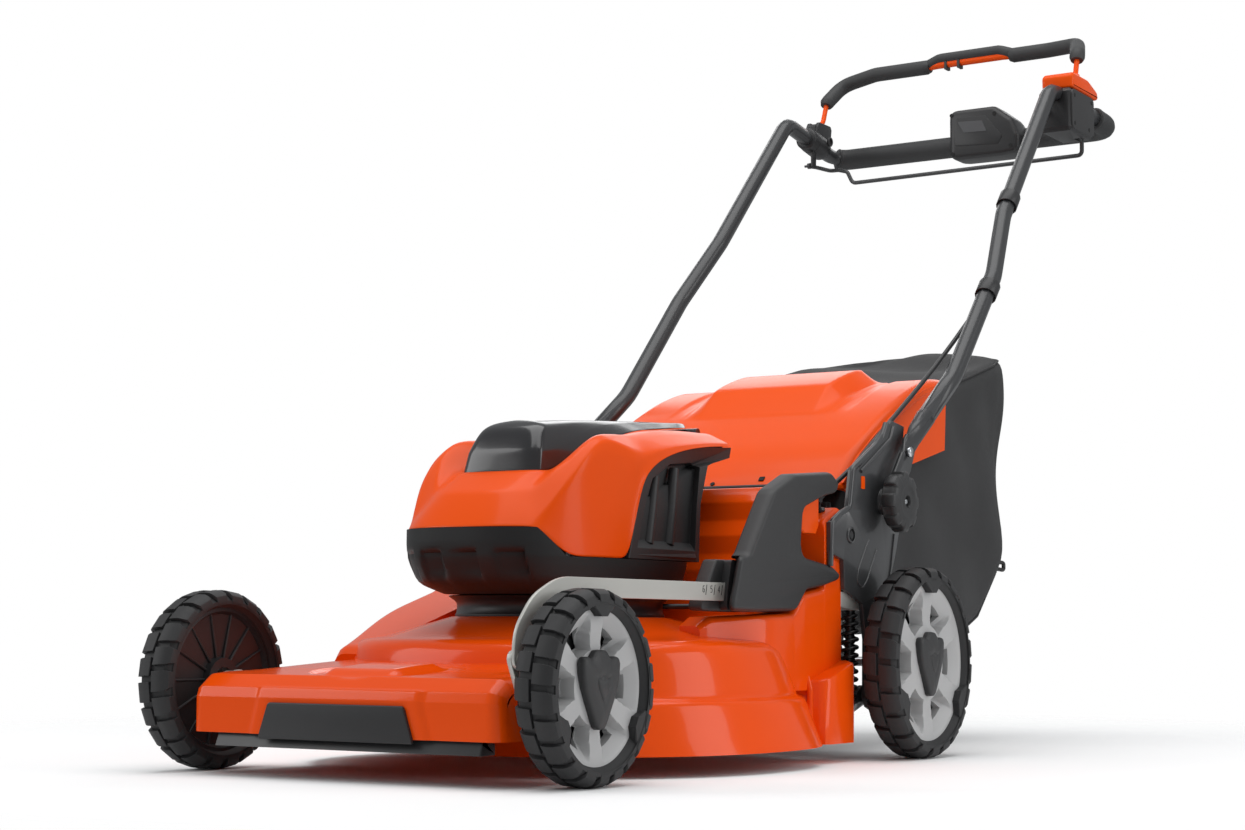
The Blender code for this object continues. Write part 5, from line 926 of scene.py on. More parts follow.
def make_deck():
    """The steel deck: chamber with its ledge and rim, nose, boxes, slope and rear skirts."""
    bm = bmesh.new()
    sides = 240
    # Each tier: height and inset from the rim.
    tiers = [(0.0235, 0.0), (0.0245, 0.0002), (0.04, 0.0058), (0.06, 0.0128),
             (0.0755, 0.0183), (0.0785, 0.0196), (0.0805, 0.0213), (0.0822, 0.0243),
             (0.0833, 0.0272), (0.085, 0.0294), (0.0885, 0.0308), (0.105, 0.036),
             (0.125, 0.0424), (0.134, 0.0455), (0.139, 0.048), (0.143, 0.0516),
             (0.1462, 0.0562), (0.1482, 0.062), (0.1494, 0.069)]
    rows = [[at(*deck_egg(t, inset), z) for t in angles(sides)] for z, inset in tiers]
    for share, lift in ((0.12, 0.0016), (0.3, 0.0058), (0.55, 0.0128), (0.8, 0.0198),
                        (0.92, 0.0232), (0.98, 0.025), (1.0, 0.0254)):
        row = []
        for t in angles(sides):
            x, y = deck_egg(t, tiers[-1][1])
            cx, cy = 0.13 * math.cos(t), MOTOR_Y + 0.13 * math.sin(t)
            row.append(at(x + (cx - x) * share, y + (cy - y) * share, tiers[-1][0] + lift))
        rows.append(row)
    loft(bm, rows, caps=(False, False))

    nose_line = even_line(rounded_line(
        [(-0.0888, 0.047), (-0.0893, 0.086), (-0.085, 0.0982), (-0.066, 0.1128), (0.0, 0.1188),
         (0.15, 0.128)], 0.006), 0.004)

    def nose_lift(x, y, z):
        pad = (ramp(abs(x), 0.056, 0.04) * ramp(y, -0.062, -0.04) * ramp(y, 0.04, 0.022))
        bowl = math.hypot(x / 0.09, (y + 0.004) / 0.064)
        sunk = ramp(bowl, 1.02, 0.97) * ramp(y, 0.05, 0.02)
        frame_round = 0.0
        if z < 0.1 and y < -0.08:
            wide = 0.107 + (0.0965 - 0.107) * between((z - 0.0465) / 0.035)
            frame_round = ramp(abs(x), wide + 0.016, wide + 0.01) * ramp(z, 0.0995, 0.0965)
        wheel = ramp(abs(x), 0.15, 0.195) * ramp(y, -0.05, 0.01)
        return 0.0085 * pad - 0.0028 * sunk + 0.0028 * frame_round - 0.003 * wheel - 0.003

    relief_sheet(bm, nose_line, 0.2075, 120, nose_lift, corner=0.016, side_low=0.047)

    # The stepped slope behind the motor and the flat roof over the chute.
    slope_y, slope_z, tread, riser = 0.4583, 0.168, 0.0289, 0.0435
    slope_line = [(slope_y, 0.136), (slope_y, slope_z)]
    for step in range(4):
        y, z = slope_y + tread * step, slope_z + riser * step
        slope_line += [(y + 0.0072, z + 0.0239), (y + tread, z + riser)]
    slope_line += [(0.656, 0.342), (0.656, 0.33)]
    slope_line = even_line(rounded_line(slope_line, 0.01), 0.006)
    relief_sheet(bm, slope_line, 0.1875, 24, lambda x, y, z: -0.0004, corner=0.006)

    # The box under the height grip. Its front runs out of the chamber's side in a curve.
    box_line = rounded_line([(0.308, 0.165), (0.33, 0.1755), (0.47, 0.181), (0.496, 0.206),
                             (0.5478, 0.213), (0.5482, 0.296), (0.592, 0.314)], 0.009)
    swept_box(bm, even_line(box_line, 0.007), 1, 0.181, 0.0884, 0.0085,
              lambda y: 0.2085 + 0.0365 * ramp(y, 0.306, 0.425))

    # The volute on the far side, rising to the chute.
    volute_line = [(0.1415, 0.13), (0.15, 0.1385), (0.385, 0.2075), (0.592, 0.2915)]
    swept_box(bm, even_line(volute_line, 0.012), -1, 0.1385, 0.1, 0.014,
              lambda y: 0.19 + 0.0545 * ramp(y, 0.1, 0.33))

    # The slanted skirts in front of the rear wheels.
    for side in (1, -1):
        plan = [(0.215, 0.48), (0.24, 0.505), (0.256, 0.508), (0.2645, 0.5115),
                (0.268, 0.52), (0.268, 0.58), (0.2655, 0.5865), (0.258, 0.592),
                (0.215, 0.592)]
        rings = []
        for drop, shrink in ((None, 0.0), (0.004, 0.0), (0.0012, 0.0012), (0.0, 0.004)):
            ring = []
            for x, y in plan:
                top = 0.086 + (y - 0.45) * 0.265
                z = 0.0235 if drop is None else top - drop
                ring.append(at((x - shrink) * side, y + (shrink if y < 0.55 else -shrink), z))
            rings.append(ring)
        loft(bm, rings)
        # The folded rib that stands up along the skirt's front edge.
        rib = [at(0.2465 * side, 0.506, 0.0245), at(0.2465 * side, 0.506, 0.09),
               at(0.24 * side, 0.508, 0.108), at(0.236 * side, 0.53, 0.115)]
        pipe(bm, rounded_path(rib, 0.01), 0.0042, sides=12)
    finish_mesh("deck_skin", bm, "orange_steel", "mower", stands_for=("deck_shell",), angle=42)


make_deck()


# Rear flap
FLAP_LINE = [(0.6535, 0.342), (0.655, 0.3493), (0.677, 0.3703), (0.709, 0.3983), (0.753, 0.4263),
             (0.809, 0.4583), (0.871, 0.4873), (0.915, 0.5033), (0.953, 0.5133), (0.983, 0.516)]


def make_flap():
    """The discharge flap: a curved sheet with a raised middle, stepped shoulders and side wings."""
    bm = bmesh.new()
    line = even_line(FLAP_LINE[:2], 0.004)[:-1] + flowing(FLAP_LINE[1:], 9)

    def lift(x, y, z):
        side, up = abs(x), y - 0.653
        hump = (between((0.116 - side) / 0.024) * between((up - 0.156) / 0.058)
                * between((0.334 - up) / 0.024))
        shoulder = ramp(side, 0.15, 0.135) * ramp(up, 0.2, 0.245) * ramp(up, 0.334, 0.3)
        gutter = ramp(side, 0.121, 0.127) * ramp(side, 0.148, 0.14) * ramp(up, 0.15, 0.21)
        return 0.0195 * hump - 0.0022 * shoulder * (1 - hump) - 0.0018 * gutter - 0.0008

    relief_sheet(bm, line, 0.2145, 160, lift, corner=0.016)
    for side in (1, -1):
        wing = [(0.985, 0.507), (0.981, 0.469), (0.977, 0.414), (0.843, 0.381), (0.713, 0.353),
                (0.662, 0.35), (0.677, 0.364), (0.709, 0.39), (0.753, 0.418), (0.809, 0.45),
                (0.871, 0.479), (0.915, 0.495), (0.953, 0.505)]
        rings = [[at(x * side, y, z) for y, z in wing] for x in (0.2108, 0.2135)]
        loft(bm, rings)
    ob = finish_mesh("flap_shell", bm, "orange_plastic", "flap", stands_for=("rear_flap",),
                     angle=38)
    thick = ob.modifiers.new("thickness", "SOLIDIFY")
    thick.thickness, thick.offset = 0.0022, -1.0
    bm = bmesh.new()
    pipe(bm, points((-0.205, 0.653, 0.3465), (0.205, 0.653, 0.3465)), 0.0042, sides=20)
    finish_mesh("flap_hinge_barrel", bm, "black_plastic", "flap", angle=60)
    # The round and the square holes above the hinge, as dark plugs that paint the shade in the
    # holes.
    bm = bmesh.new()
    slope = Vector((0, 0.022, 0.021)).normalized()
    out = Vector((0, -slope.z, slope.y))
    for x, y, z, sides, r in ((0.02, 0.66, 0.354, 24, 0.0032),
                              (0.092, 0.665, 0.359, 4, 0.0052)):
        centre = at(x, y, z) + out * 0.0002
        ring = [centre + (Vector((1, 0, 0)) * math.cos(a) + slope * math.sin(a)) * r
                for a in (2 * math.pi * (k + 0.5) / sides for k in range(sides))]
        loft(bm, [[p + out * 0.0006 for p in ring], [p - out * 0.001 for p in ring]])
    finish_mesh("flap_hole_shade", bm, "painted_hole_shade", "flap")


make_flap()


# Grass bag
BAG_TOP = [(0.667, 0.326), (0.684, 0.346), (0.712, 0.378), (0.76, 0.408), (0.816, 0.438),
           (0.876, 0.466), (0.95, 0.49), (1.007, 0.51), (1.252, 0.578), (1.352, 0.6)]
BAG_LOW = [(0.667, 0.16), (1.106, 0.16), (1.142, 0.174), (1.226, 0.254), (1.342, 0.43),
           (1.352, 0.596)]
BAG_WIDE = [(0.667, 0.196), (1.212, 0.196), (1.257, 0.184), (1.334, 0.106), (1.3525, 0.055)]
BAG_FRONT, BAG_REAR = 0.667, 1.352
BAG_STATIONS = 64
BAG_SIDES = 88
SETTLE_FRAMES = 26
CREASE_WAVES, CREASE_SEED = 12, 7


def make_bag():
    """The fabric bag: a seamed shell whose panels sag between the frame and the seams."""
    bm = bmesh.new()
    rows, pins = [], []
    ys = [BAG_FRONT + (BAG_REAR - BAG_FRONT) * (k / BAG_STATIONS) ** 0.92
          for k in range(BAG_STATIONS + 1)]
    for j, y in enumerate(ys):
        top, low, wide = (polyline_at(line, y) for line in (BAG_TOP, BAG_LOW, BAG_WIDE))
        top, low, wide = top - 0.002, low + 0.002, wide - 0.001
        high, r = top - low, min(0.009, 0.45 * (top - low), 0.4 * wide)
        ring = []
        for k in range(BAG_SIDES):
            t = 2 * math.pi * (k + 0.5) / BAG_SIDES
            c, s = math.cos(t), math.sin(t)
            reach = max(abs(c), abs(s))
            u, v = c / reach, s / reach
            x, z = u * wide, (top + low) / 2 + v * high / 2
            cx, cz = wide - r, high / 2 - r
            dx, dz = abs(x) - cx, abs(z - (top + low) / 2) - cz
            if dx > 0 and dz > 0:
                length = math.hypot(dx, dz)
                x = math.copysign(cx + dx * r / length, u)
                z = (top + low) / 2 + math.copysign(cz + dz * r / length, v)
            if abs(abs(c) - abs(s)) < 0.09 or j < 2 or j >= BAG_STATIONS - 1:
                pins.append(j * BAG_SIDES + k)
            ring.append(at(x, y, z))
        rows.append(ring)
    made = loft(bm, rows, caps=(False, False))
    centre = bm.verts.new(sum((v.co for v in made[-1]), Vector()) / BAG_SIDES)
    for k in range(BAG_SIDES):
        bm.faces.new((made[-1][k], made[-1][(k + 1) % BAG_SIDES], centre))
    bmesh.ops.recalc_face_normals(bm, faces=bm.faces)
    data = bpy.data.meshes.new("bag_fabric_shell")
    bm.to_mesh(data)
    bm.free()
    ob = bpy.data.objects.new("bag_fabric_shell", data)
    bpy.context.scene.collection.objects.link(ob)
    group = ob.vertex_groups.new(name="pins")
    group.add(pins + [len(data.vertices) - 1], 1.0, "REPLACE")
    cloth = ob.modifiers.new("cloth", "CLOTH")
    facts = cloth.settings
    facts.quality, facts.mass = 6, 0.35
    facts.vertex_group_mass = "pins"
    facts.tension_stiffness = facts.compression_stiffness = 18.0
    facts.shear_stiffness, facts.bending_stiffness = 8.0, 0.25
    facts.use_pressure, facts.uniform_pressure_force = True, 0.06
    facts.shrink_min = -0.018
    cloth.collision_settings.use_collision = False
    scene = bpy.context.scene
    scene.frame_start, scene.frame_end = 1, SETTLE_FRAMES
    cloth.point_cache.frame_start, cloth.point_cache.frame_end = 1, SETTLE_FRAMES
    for tick in range(1, SETTLE_FRAMES + 1):
        scene.frame_set(tick)
    graph = bpy.context.evaluated_depsgraph_get()
    settled = bpy.data.meshes.new_from_object(ob.evaluated_get(graph))
    ob.modifiers.clear()
    ob.data = settled
    scene.frame_set(1)
    # Soft creases run down the panels from the seams.
    rng = random.Random(CREASE_SEED)
    waves = [(rng.uniform(10, 52), rng.uniform(8, 44), rng.uniform(0, 6.3),
              rng.uniform(0.0006, 0.0019)) for _ in range(CREASE_WAVES)]
    ob.data.shade_smooth()
    pinned = set(pins)
    normals = [v.normal.copy() for v in ob.data.vertices]
    for v, n in zip(ob.data.vertices, normals):
        if v.index not in pinned:
            push = sum(h * math.sin(a * v.co.y + b * (v.co.z + v.co.x) + c) for a, b, c, h in waves)
            v.co += n * (push - 0.0012)
    low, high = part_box("grass_bag")
    for v in ob.data.vertices:
        v.co = Vector((max(low.x - 0.006, min(high.x + 0.006, v.co.x)),
                       max(low.y, min(high.y + 0.004, v.co.y)),
                       max(low.z - 0.006, min(high.z + 0.006, v.co.z))))
    ob.data.materials.append(MATERIALS["bag_fabric"])
    finer = ob.modifiers.new("finer", "SUBSURF")
    finer.levels = finer.render_levels = 1
    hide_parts("grass_bag")
    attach(ob, "bag")
    return ob


def make_bag_trim(bag):
    """The piping along the settled bag's long seams, and the loop at its rear corner."""
    bm = bmesh.new()
    spots = [v.co for v in bag.data.vertices]
    for first in (10, 32, 54, 76):
        path = [(spots[j * BAG_SIDES + first] + spots[j * BAG_SIDES + first + 1]) / 2
                for j in range(1, BAG_STATIONS)]
        pipe(bm, path, 0.0019, sides=10)
    loop = [at(0.188, 1.215, 0.264), at(0.1925, 1.233, 0.263), at(0.1925, 1.233, 0.252),
            at(0.188, 1.212, 0.254)]
    pipe(bm, rounded_path(loop, 0.004), 0.003, sides=10)
    finish_mesh("bag_piping", bm, "bag_fabric", "bag", angle=60)


make_bag_trim(make_bag())


def slab(bm, outline, low, high, round_low=0.0, round_high=0.0, axis="x", steps=5, deeper=1.0):
    """A plate over a closed outline with its two faces' edges rounded over."""
    levels = []
    if round_low:
        levels += [(low + round_low * (1 - math.sin(b)), round_low * (1 - math.cos(b)))
                   for b in (math.pi / 2 * (1 - k / steps) for k in range(steps + 1))]
    else:
        levels.append((low, 0.0))
    if round_high:
        levels += [(high - deeper * round_high * (1 - math.sin(b)), round_high * (1 - math.cos(b)))
                   for b in (math.pi / 2 * k / steps for k in range(steps + 1))]
    else:
        levels.append((high, 0.0))
    rings = []
    for place, inset in levels:
        ring = inset_outline(outline, inset) if inset else outline
        rings.append([at(place, a, b) if axis == "x" else at(a, place, b) for a, b in ring])
    return loft(bm, rings)


# Height grip
GRIP_LINE = [(0.3105, 0.1825), (0.3225, 0.214), (0.3335, 0.245), (0.353, 0.247), (0.413, 0.326),
             (0.468, 0.349), (0.563, 0.357), (0.584, 0.345), (0.578, 0.331), (0.545, 0.325),
             (0.488, 0.307), (0.48, 0.251), (0.565, 0.241), (0.585, 0.232), (0.583, 0.2225),
             (0.5465, 0.215), (0.4965, 0.2085), (0.47, 0.1835), (0.374, 0.1815)]
GRIP_TURNS = [0.009, 0.02, 0.01, 0.018, 0.03, 0.04, 0.014, 0.01, 0.012, 0.03,
              0.018, 0.02, 0.03, 0.01, 0.0075, 0.014, 0.016, 0.016, 0.03]


def make_grip():
    """The height grip: a round-edged loop over a base that the link's scale runs in front of."""
    bm = bmesh.new()
    rows = slab(bm, round_outline(GRIP_LINE, GRIP_TURNS), 0.2252, 0.2493, 0.0025, 0.0054,
                steps=7, deeper=2.0)
    for row in rows:
        for v in row:
            y = v.co.y + CENTRE_Y
            inner = (ramp(v.co.x, 0.247, 0.227) * ramp(y, 0.352, 0.334)
                     * ramp(v.co.z, 0.262, 0.24))
            v.co.y += 0.027 * inner
    base = [(0.29, 0.1825), (0.308, 0.214), (0.327, 0.242), (0.353, 0.242), (0.44, 0.238),
            (0.546, 0.231)] + GRIP_LINE[-4:]
    slab(bm, round_outline(base, 0.007), 0.2003, 0.2193, 0.0025, 0.0025)
    behind = [(0.333, 0.1835), (0.338, 0.214), (0.345, 0.242), (0.44, 0.238), (0.546, 0.231)]
    slab(bm, round_outline(behind + GRIP_LINE[-4:-1], 0.005), 0.215, 0.229)
    finish_mesh("height_grip_shell", bm, "dark_plastic", "mower", stands_for=("height_grip",),
                angle=40)


make_grip()


# Strokes of the scale's numbers, in a box one wide and one high.
DIGITS = {
    "6": [(0.9, 1.0), (0.2, 0.95), (0.0, 0.5), (0.0, 0.1), (0.5, 0.0), (1.0, 0.15), (0.9, 0.5),
          (0.1, 0.5)],
    "5": [(1.0, 1.0), (0.1, 1.0), (0.05, 0.55), (0.6, 0.62), (1.0, 0.4), (0.8, 0.05), (0.0, 0.0)],
    "4": [(0.75, 0.0), (0.75, 1.0), (0.0, 0.3), (1.0, 0.3)],
    "3": [(0.0, 1.0), (0.9, 0.95), (0.9, 0.6), (0.3, 0.52), (0.95, 0.45), (0.9, 0.05), (0.0, 0.0)],
}


def make_bumper():
    """The dark insert on the nose's face and the skid strip set back under its edge."""
    bm = bmesh.new()
    face = [(-0.104, 0.0425), (0.104, 0.0425), (0.103, 0.0465), (0.091, 0.081), (-0.091, 0.081),
            (-0.103, 0.0465)]
    slab(bm, round_outline(face, [0.003, 0.003, 0.004, 0.005, 0.005, 0.004]), -0.0928, -0.0888,
         0.0012, 0.0, axis="y", steps=4)
    strip = [(-0.087, 0.033), (-0.0815, 0.0465), (-0.085, 0.047), (-0.085, 0.06),
             (-0.083, 0.06), (-0.081, 0.045), (-0.06, 0.045), (-0.06, 0.033)]
    slab(bm, strip, -0.17, 0.186, 0.0016, 0.0016, steps=3)
    finish_mesh("nose_bumper", bm, "black_plastic", "mower",
                stands_for=("front_bumper",), angle=40)


make_bumper()


def make_link():
    """The flat steel bar between the axles: straight, with a long bend down at each end."""
    knots = [(-0.073, 0.1304), (-0.0715, 0.156), (-0.045, 0.186), (-0.002, 0.2045),
             (0.5948, 0.2045), (0.622, 0.195), (0.6288, 0.1499)]
    line = rounded_path([Vector((0.0, y, z)) for y, z in knots],
                        [0, 0.05, 0.06, 0.09, 0.04, 0.04, 0], 8)
    line = evenly(line, 0.006)
    half, left, right = 0.0105, [], []
    for i, p in enumerate(line):
        along = (line[min(i + 1, len(line) - 1)] - line[max(i - 1, 0)]).normalized()
        side = Vector((0.0, -along.z, along.y))
        left.append(p + side * half)
        right.append(p - side * half)
    ends = []
    for centre, out in ((line[-1], line[-1] - line[-2]), (line[0], line[0] - line[1])):
        heading = math.atan2(out.z, out.y)
        ends.append([centre + Vector((0.0, math.cos(t), math.sin(t))) * half
                     for t in (heading + math.pi * (0.5 - k / 10) for k in range(1, 10))])
    outline = left + ends[0] + right[::-1] + ends[1]
    bm = bmesh.new()
    slab(bm, [(p.y, p.z) for p in outline], 0.2205, 0.2245, 0.0007, 0.0007, steps=3)
    for y, z in ((-0.073, 0.1304), (0.6288, 0.1499)):
        turned(bm, [(0.0, 0.006), (0.0024, 0.006), (0.0032, 0.005), (0.0034, 0.0024)],
               at(0.2243, y, z), sides=28)
    finish_mesh("link_bar", bm, "link_steel", "link", stands_for=("height_link",), angle=50)


make_link()


def make_motor_foot():
    """The dark foot under the motor cover, with its waist and its flared skirt."""
    bm = bmesh.new()
    profile = [(0.0003, 0.04), (0.0003, 0.1262), (0.0026, 0.1262), (0.004, 0.1248),
               (0.011, 0.124), (0.016, 0.1246), (0.019, 0.1272), (0.024, 0.1345),
               (0.025, 0.133), (0.025, 0.04)]
    turned(bm, profile, at(0.0, MOTOR_Y, 0.175), axis="z", sides=128)
    finish_mesh("motor_foot", bm, "black_plastic", "mower", stands_for=("motor_base",), angle=40)


make_motor_foot()


def make_scale():
    """The numbers and slanted ticks on the link's face, raised by the print's own thickness."""
    bm = bmesh.new()
    x = 0.22455
    for digit, y in (("6", 0.287), ("5", 0.3045), ("4", 0.3215), ("3", 0.3375)):
        path = [at(x, y + 0.004 * a, 0.2033 + 0.0075 * b) for a, b in DIGITS[digit]]
        for a, b in zip(path, path[1:]):
            pipe(bm, [a, b], 0.00042, sides=6)
    for y in (0.2945, 0.313, 0.33, 0.346):
        pipe(bm, points((x, y - 0.001, 0.2005), (x, y + 0.0016, 0.212)), 0.00055, sides=6)
    for y in (0.3515, 0.3555):
        pipe(bm, points((x, y, 0.2075), (x, y + 0.0008, 0.212)), 0.0004, sides=6)
    finish_mesh("link_scale", bm, "ink", "link")


make_scale()


# Rear brackets' details
def make_bracket_details(side):
    name = "left" if side > 0 else "right"
    bm = bmesh.new()

    def spot(x, y, z):
        return at(x * side, y, z)

    # The flange that is folded along the front edge and the strut.
    front = [spot(0.249, y, z) for y, z in ((0.715, 0.429), (0.701, 0.4075), (0.617, 0.364),
                                             (0.607, 0.314), (0.586, 0.307), (0.559, 0.294),
                                             (0.5555, 0.24))]
    path = rounded_path(front, 0.012)
    pipe(bm, path, 0.004, sides=14)
    # The raised loop and the second pressed line beside it.
    loop = [spot(0.2515, y, z) for y, z in ((0.657, 0.276), (0.627, 0.236), (0.624, 0.221),
                                            (0.64, 0.214), (0.653, 0.225), (0.68, 0.264))]
    pipe(bm, rounded_path(loop, 0.01), 0.0011, sides=8)
    line = [spot(0.2515, y, z) for y, z in ((0.733, 0.286), (0.723, 0.244), (0.716, 0.223))]
    pipe(bm, line, 0.0012, sides=8)
    # The strut's rib beside the handle tube.
    rib = [spot(0.252, y, z) for y, z in ((0.635, 0.362), (0.719, 0.408), (0.73, 0.426))]
    pipe(bm, rounded_path(rib, 0.008), 0.0026, sides=12)
    recess = spot(0, 0.607, 0.28)
    turned(bm, [(0.251 * side, 0.0105), (0.253 * side, 0.0105), (0.2536 * side, 0.0098),
                (0.2536 * side, 0.0078)], recess, sides=36, caps=(False, False))
    finish_mesh("bracket_ribs_" + name, bm, "bracket_paint", "mower", angle=50)
    # A dark disc on the recess floor round the plug: painted shade in the recess.
    bm = bmesh.new()
    turned(bm, [(0.2514 * side, 0.008), (0.2519 * side, 0.008)], recess, sides=32)
    finish_mesh("bracket_recess_" + name, bm, "painted_hole_shade", "mower")
    bm = bmesh.new()
    turned(bm, [(0.2519 * side, 0.005), (0.253 * side, 0.005), (0.2532 * side, 0.0044)],
           recess, sides=28)
    finish_mesh("bracket_plug_" + name, bm, "black_plastic", "mower")
    bm = bmesh.new()
    slab(bm, round_outline([(0.637, 0.34), (0.637, 0.356), (0.647, 0.356), (0.647, 0.34)],
                           0.0015), 0.2512 * side, 0.252 * side)
    finish_mesh("bracket_window_" + name, bm, "orange_plastic", "mower")


for side in (1, -1):
    make_bracket_details(side)

KNOB_NOTCHES = 8


def make_knob(side):
    name = "left" if side > 0 else "right"
    bm = bmesh.new()
    centre = at(0, 0.702, 0.326)
    # Each level: place along the axle, radius, and the share of the notches' depth.
    levels = ((0.265, 0.0345, 0.0), (0.2665, 0.0375, 0.4), (0.269, 0.0392, 1.0),
              (0.278, 0.0396, 1.0), (0.2812, 0.039, 1.0), (0.2832, 0.0376, 1.0),
              (0.2845, 0.0352, 0.9), (0.2852, 0.0315, 0.6), (0.286, 0.027, 0.2),
              (0.2866, 0.0225, 0.0), (0.2866, 0.0205, 0.0), (0.2856, 0.0188, 0.0),
              (0.2858, 0.012, 0.0), (0.2862, 0.0082, 0.0), (0.285, 0.0074, 0.0),
              (0.278, 0.007, 0.0))
    rings = []
    for x, r, notch in levels:
        ring = []
        for t in angles(192):
            phase = (t * KNOB_NOTCHES / (2 * math.pi)) % 1.0
            dip = ramp(abs(phase - 0.5), 0.27, 0.19)
            radius = r * (1 - 0.105 * dip * notch)
            ring.append(centre + Vector((x * side, radius * math.cos(t), radius * math.sin(t))))
        rings.append(ring)
    loft(bm, rings, caps=(True, False))
    finish_mesh("knob_body_" + name, bm, "dark_plastic", "knob_" + name,
                stands_for=("fold_knob_" + name,), angle=38)
    # A dark hexagon at the socket's floor: painted shade in the socket.
    bm = bmesh.new()
    turned(bm, [(0.278 * side, 0.007), (0.2784 * side, 0.007)], centre, sides=6)
    finish_mesh("knob_socket_" + name, bm, "painted_hole_shade", "knob_" + name)
    bm = bmesh.new()
    turned(bm, [(0.2784 * side, 0.0032), (0.2835 * side, 0.0032), (0.284 * side, 0.0026)],
           centre, sides=24)
    finish_mesh("knob_bolt_" + name, bm, "zinc", "knob_" + name)


for side in (1, -1):
    make_knob(side)


# Display and control box
def make_display():
    """The display on the grip bar: a rounded shell with a field, a screen and four screws drawn as
    dark discs of painted shade.
    """
    bm = bmesh.new()
    outline = round_outline([(-0.0115, 0.948), (-0.0115, 1.0325), (0.07, 1.0325),
                             (0.102, 1.008), (0.1135, 0.98), (0.1135, 0.95),
                             (0.08, 0.9475), (0.03, 0.9475)], 0.016, 6)
    front, back = 1.4995, 1.5755
    levels = [(front, 0.008), (front + 0.001, 0.005), (front + 0.003, 0.0024),
              (front + 0.006, 0.0008), (front + 0.01, 0.0), (front + 0.044, 0.0),
              (front + 0.06, 0.0025), (back - 0.004, 0.006), (back, 0.0085)]
    rings = [[at(x, y, z) for x, z in inset_outline(outline, inset)] for y, inset in levels]
    loft(bm, rings)
    field = round_outline([(0.0, 0.97), (0.001, 1.0175), (0.056, 1.0165), (0.086, 0.979),
                           (0.078, 0.966)], 0.006)
    slab(bm, field, 1.4988, 1.4998, 0.0006, 0.0, axis="y", steps=2)
    finish_mesh("display_shell", bm, "black_plastic", "handle", stands_for=("display_housing",),
                angle=45)
    bm = bmesh.new()
    glass = [(0.006, 1.011), (0.05, 1.0085), (0.058, 0.99), (0.017, 0.9915)]
    slab(bm, round_outline(glass, 0.0015), 1.4983, 1.4988, axis="y")
    finish_mesh("display_screen", bm, "screen", "handle")
    # The four screws are near-black discs: painted shade in their sunk holes.
    bm = bmesh.new()
    for x, z in ((-0.005, 1.023), (0.072, 1.018), (0.1, 0.961), (-0.004, 0.957)):
        slab(bm, [(x + 0.0034 * math.cos(t), z + 0.0034 * math.sin(t)) for t in angles(20)],
             1.4988, 1.5012, axis="y")
    finish_mesh("display_screw_shade", bm, "painted_hole_shade", "handle")


make_display()


def make_box_plate():
    """The control box's side plate with four sunk screws, drawn as dark discs of painted shade."""
    bm = bmesh.new()
    outline = round_outline([(1.36, 1.0085), (1.453, 1.0085), (1.453, 0.948), (1.435, 0.944),
                             (1.36, 0.944)], 0.01)
    slab(bm, outline, 0.26, 0.2628, 0.0, 0.0016)
    finish_mesh("control_box_plate", bm, "dark_plastic", "handle", angle=45)
    # The four screws are near-black discs: painted shade in their sunk holes.
    bm = bmesh.new()
    for y, z in ((1.369, 0.999), (1.442, 1.0), (1.369, 0.954), (1.43, 0.954)):
        turned(bm, [(0.2626, 0.0034), (0.2631, 0.0034)], at(0, y, z), sides=20)
    finish_mesh("control_box_screw_shade", bm, "painted_hole_shade", "handle")


make_box_plate()


# Drive bail. Both bails turn on pins at this distance from the middle.
BAIL_X = 0.2425
BAIL = [(BAIL_X, 1.422, 1.032), (BAIL_X, 1.436, 1.08), (0.2215, 1.492, 1.112),
        (0.1625, 1.514, 1.116), (-0.1625, 1.534, 1.121), (-0.2275, 1.538, 1.11),
        (-BAIL_X, 1.504, 1.074), (-BAIL_X, 1.49, 1.038), (-BAIL_X, 1.462, 1.018)]
BAIL_TURNS = [0, 0.024, 0.03, 0.04, 0.07, 0.03, 0.024, 0.018, 0]


def bail_at(x, lift=0.0):
    share = (BAIL[3][0] - x) / (BAIL[3][0] - BAIL[4][0])
    p = at(*BAIL[3]).lerp(at(*BAIL[4]), share)
    return p + Vector((0, 0, lift))


def capped(path, radius, cap=0.004):
    """A pipe's path and radii with its ends rounded off."""
    line = evenly(path, 0.006)
    total = (len(line) - 1) * (line[1] - line[0]).length
    radii = []
    for k in range(len(line)):
        near = min(k, len(line) - 1 - k) / (len(line) - 1) * total
        radii.append(radius * (0.8 + 0.2 * min(1.0, near / cap) ** 0.5))
    return line, radii


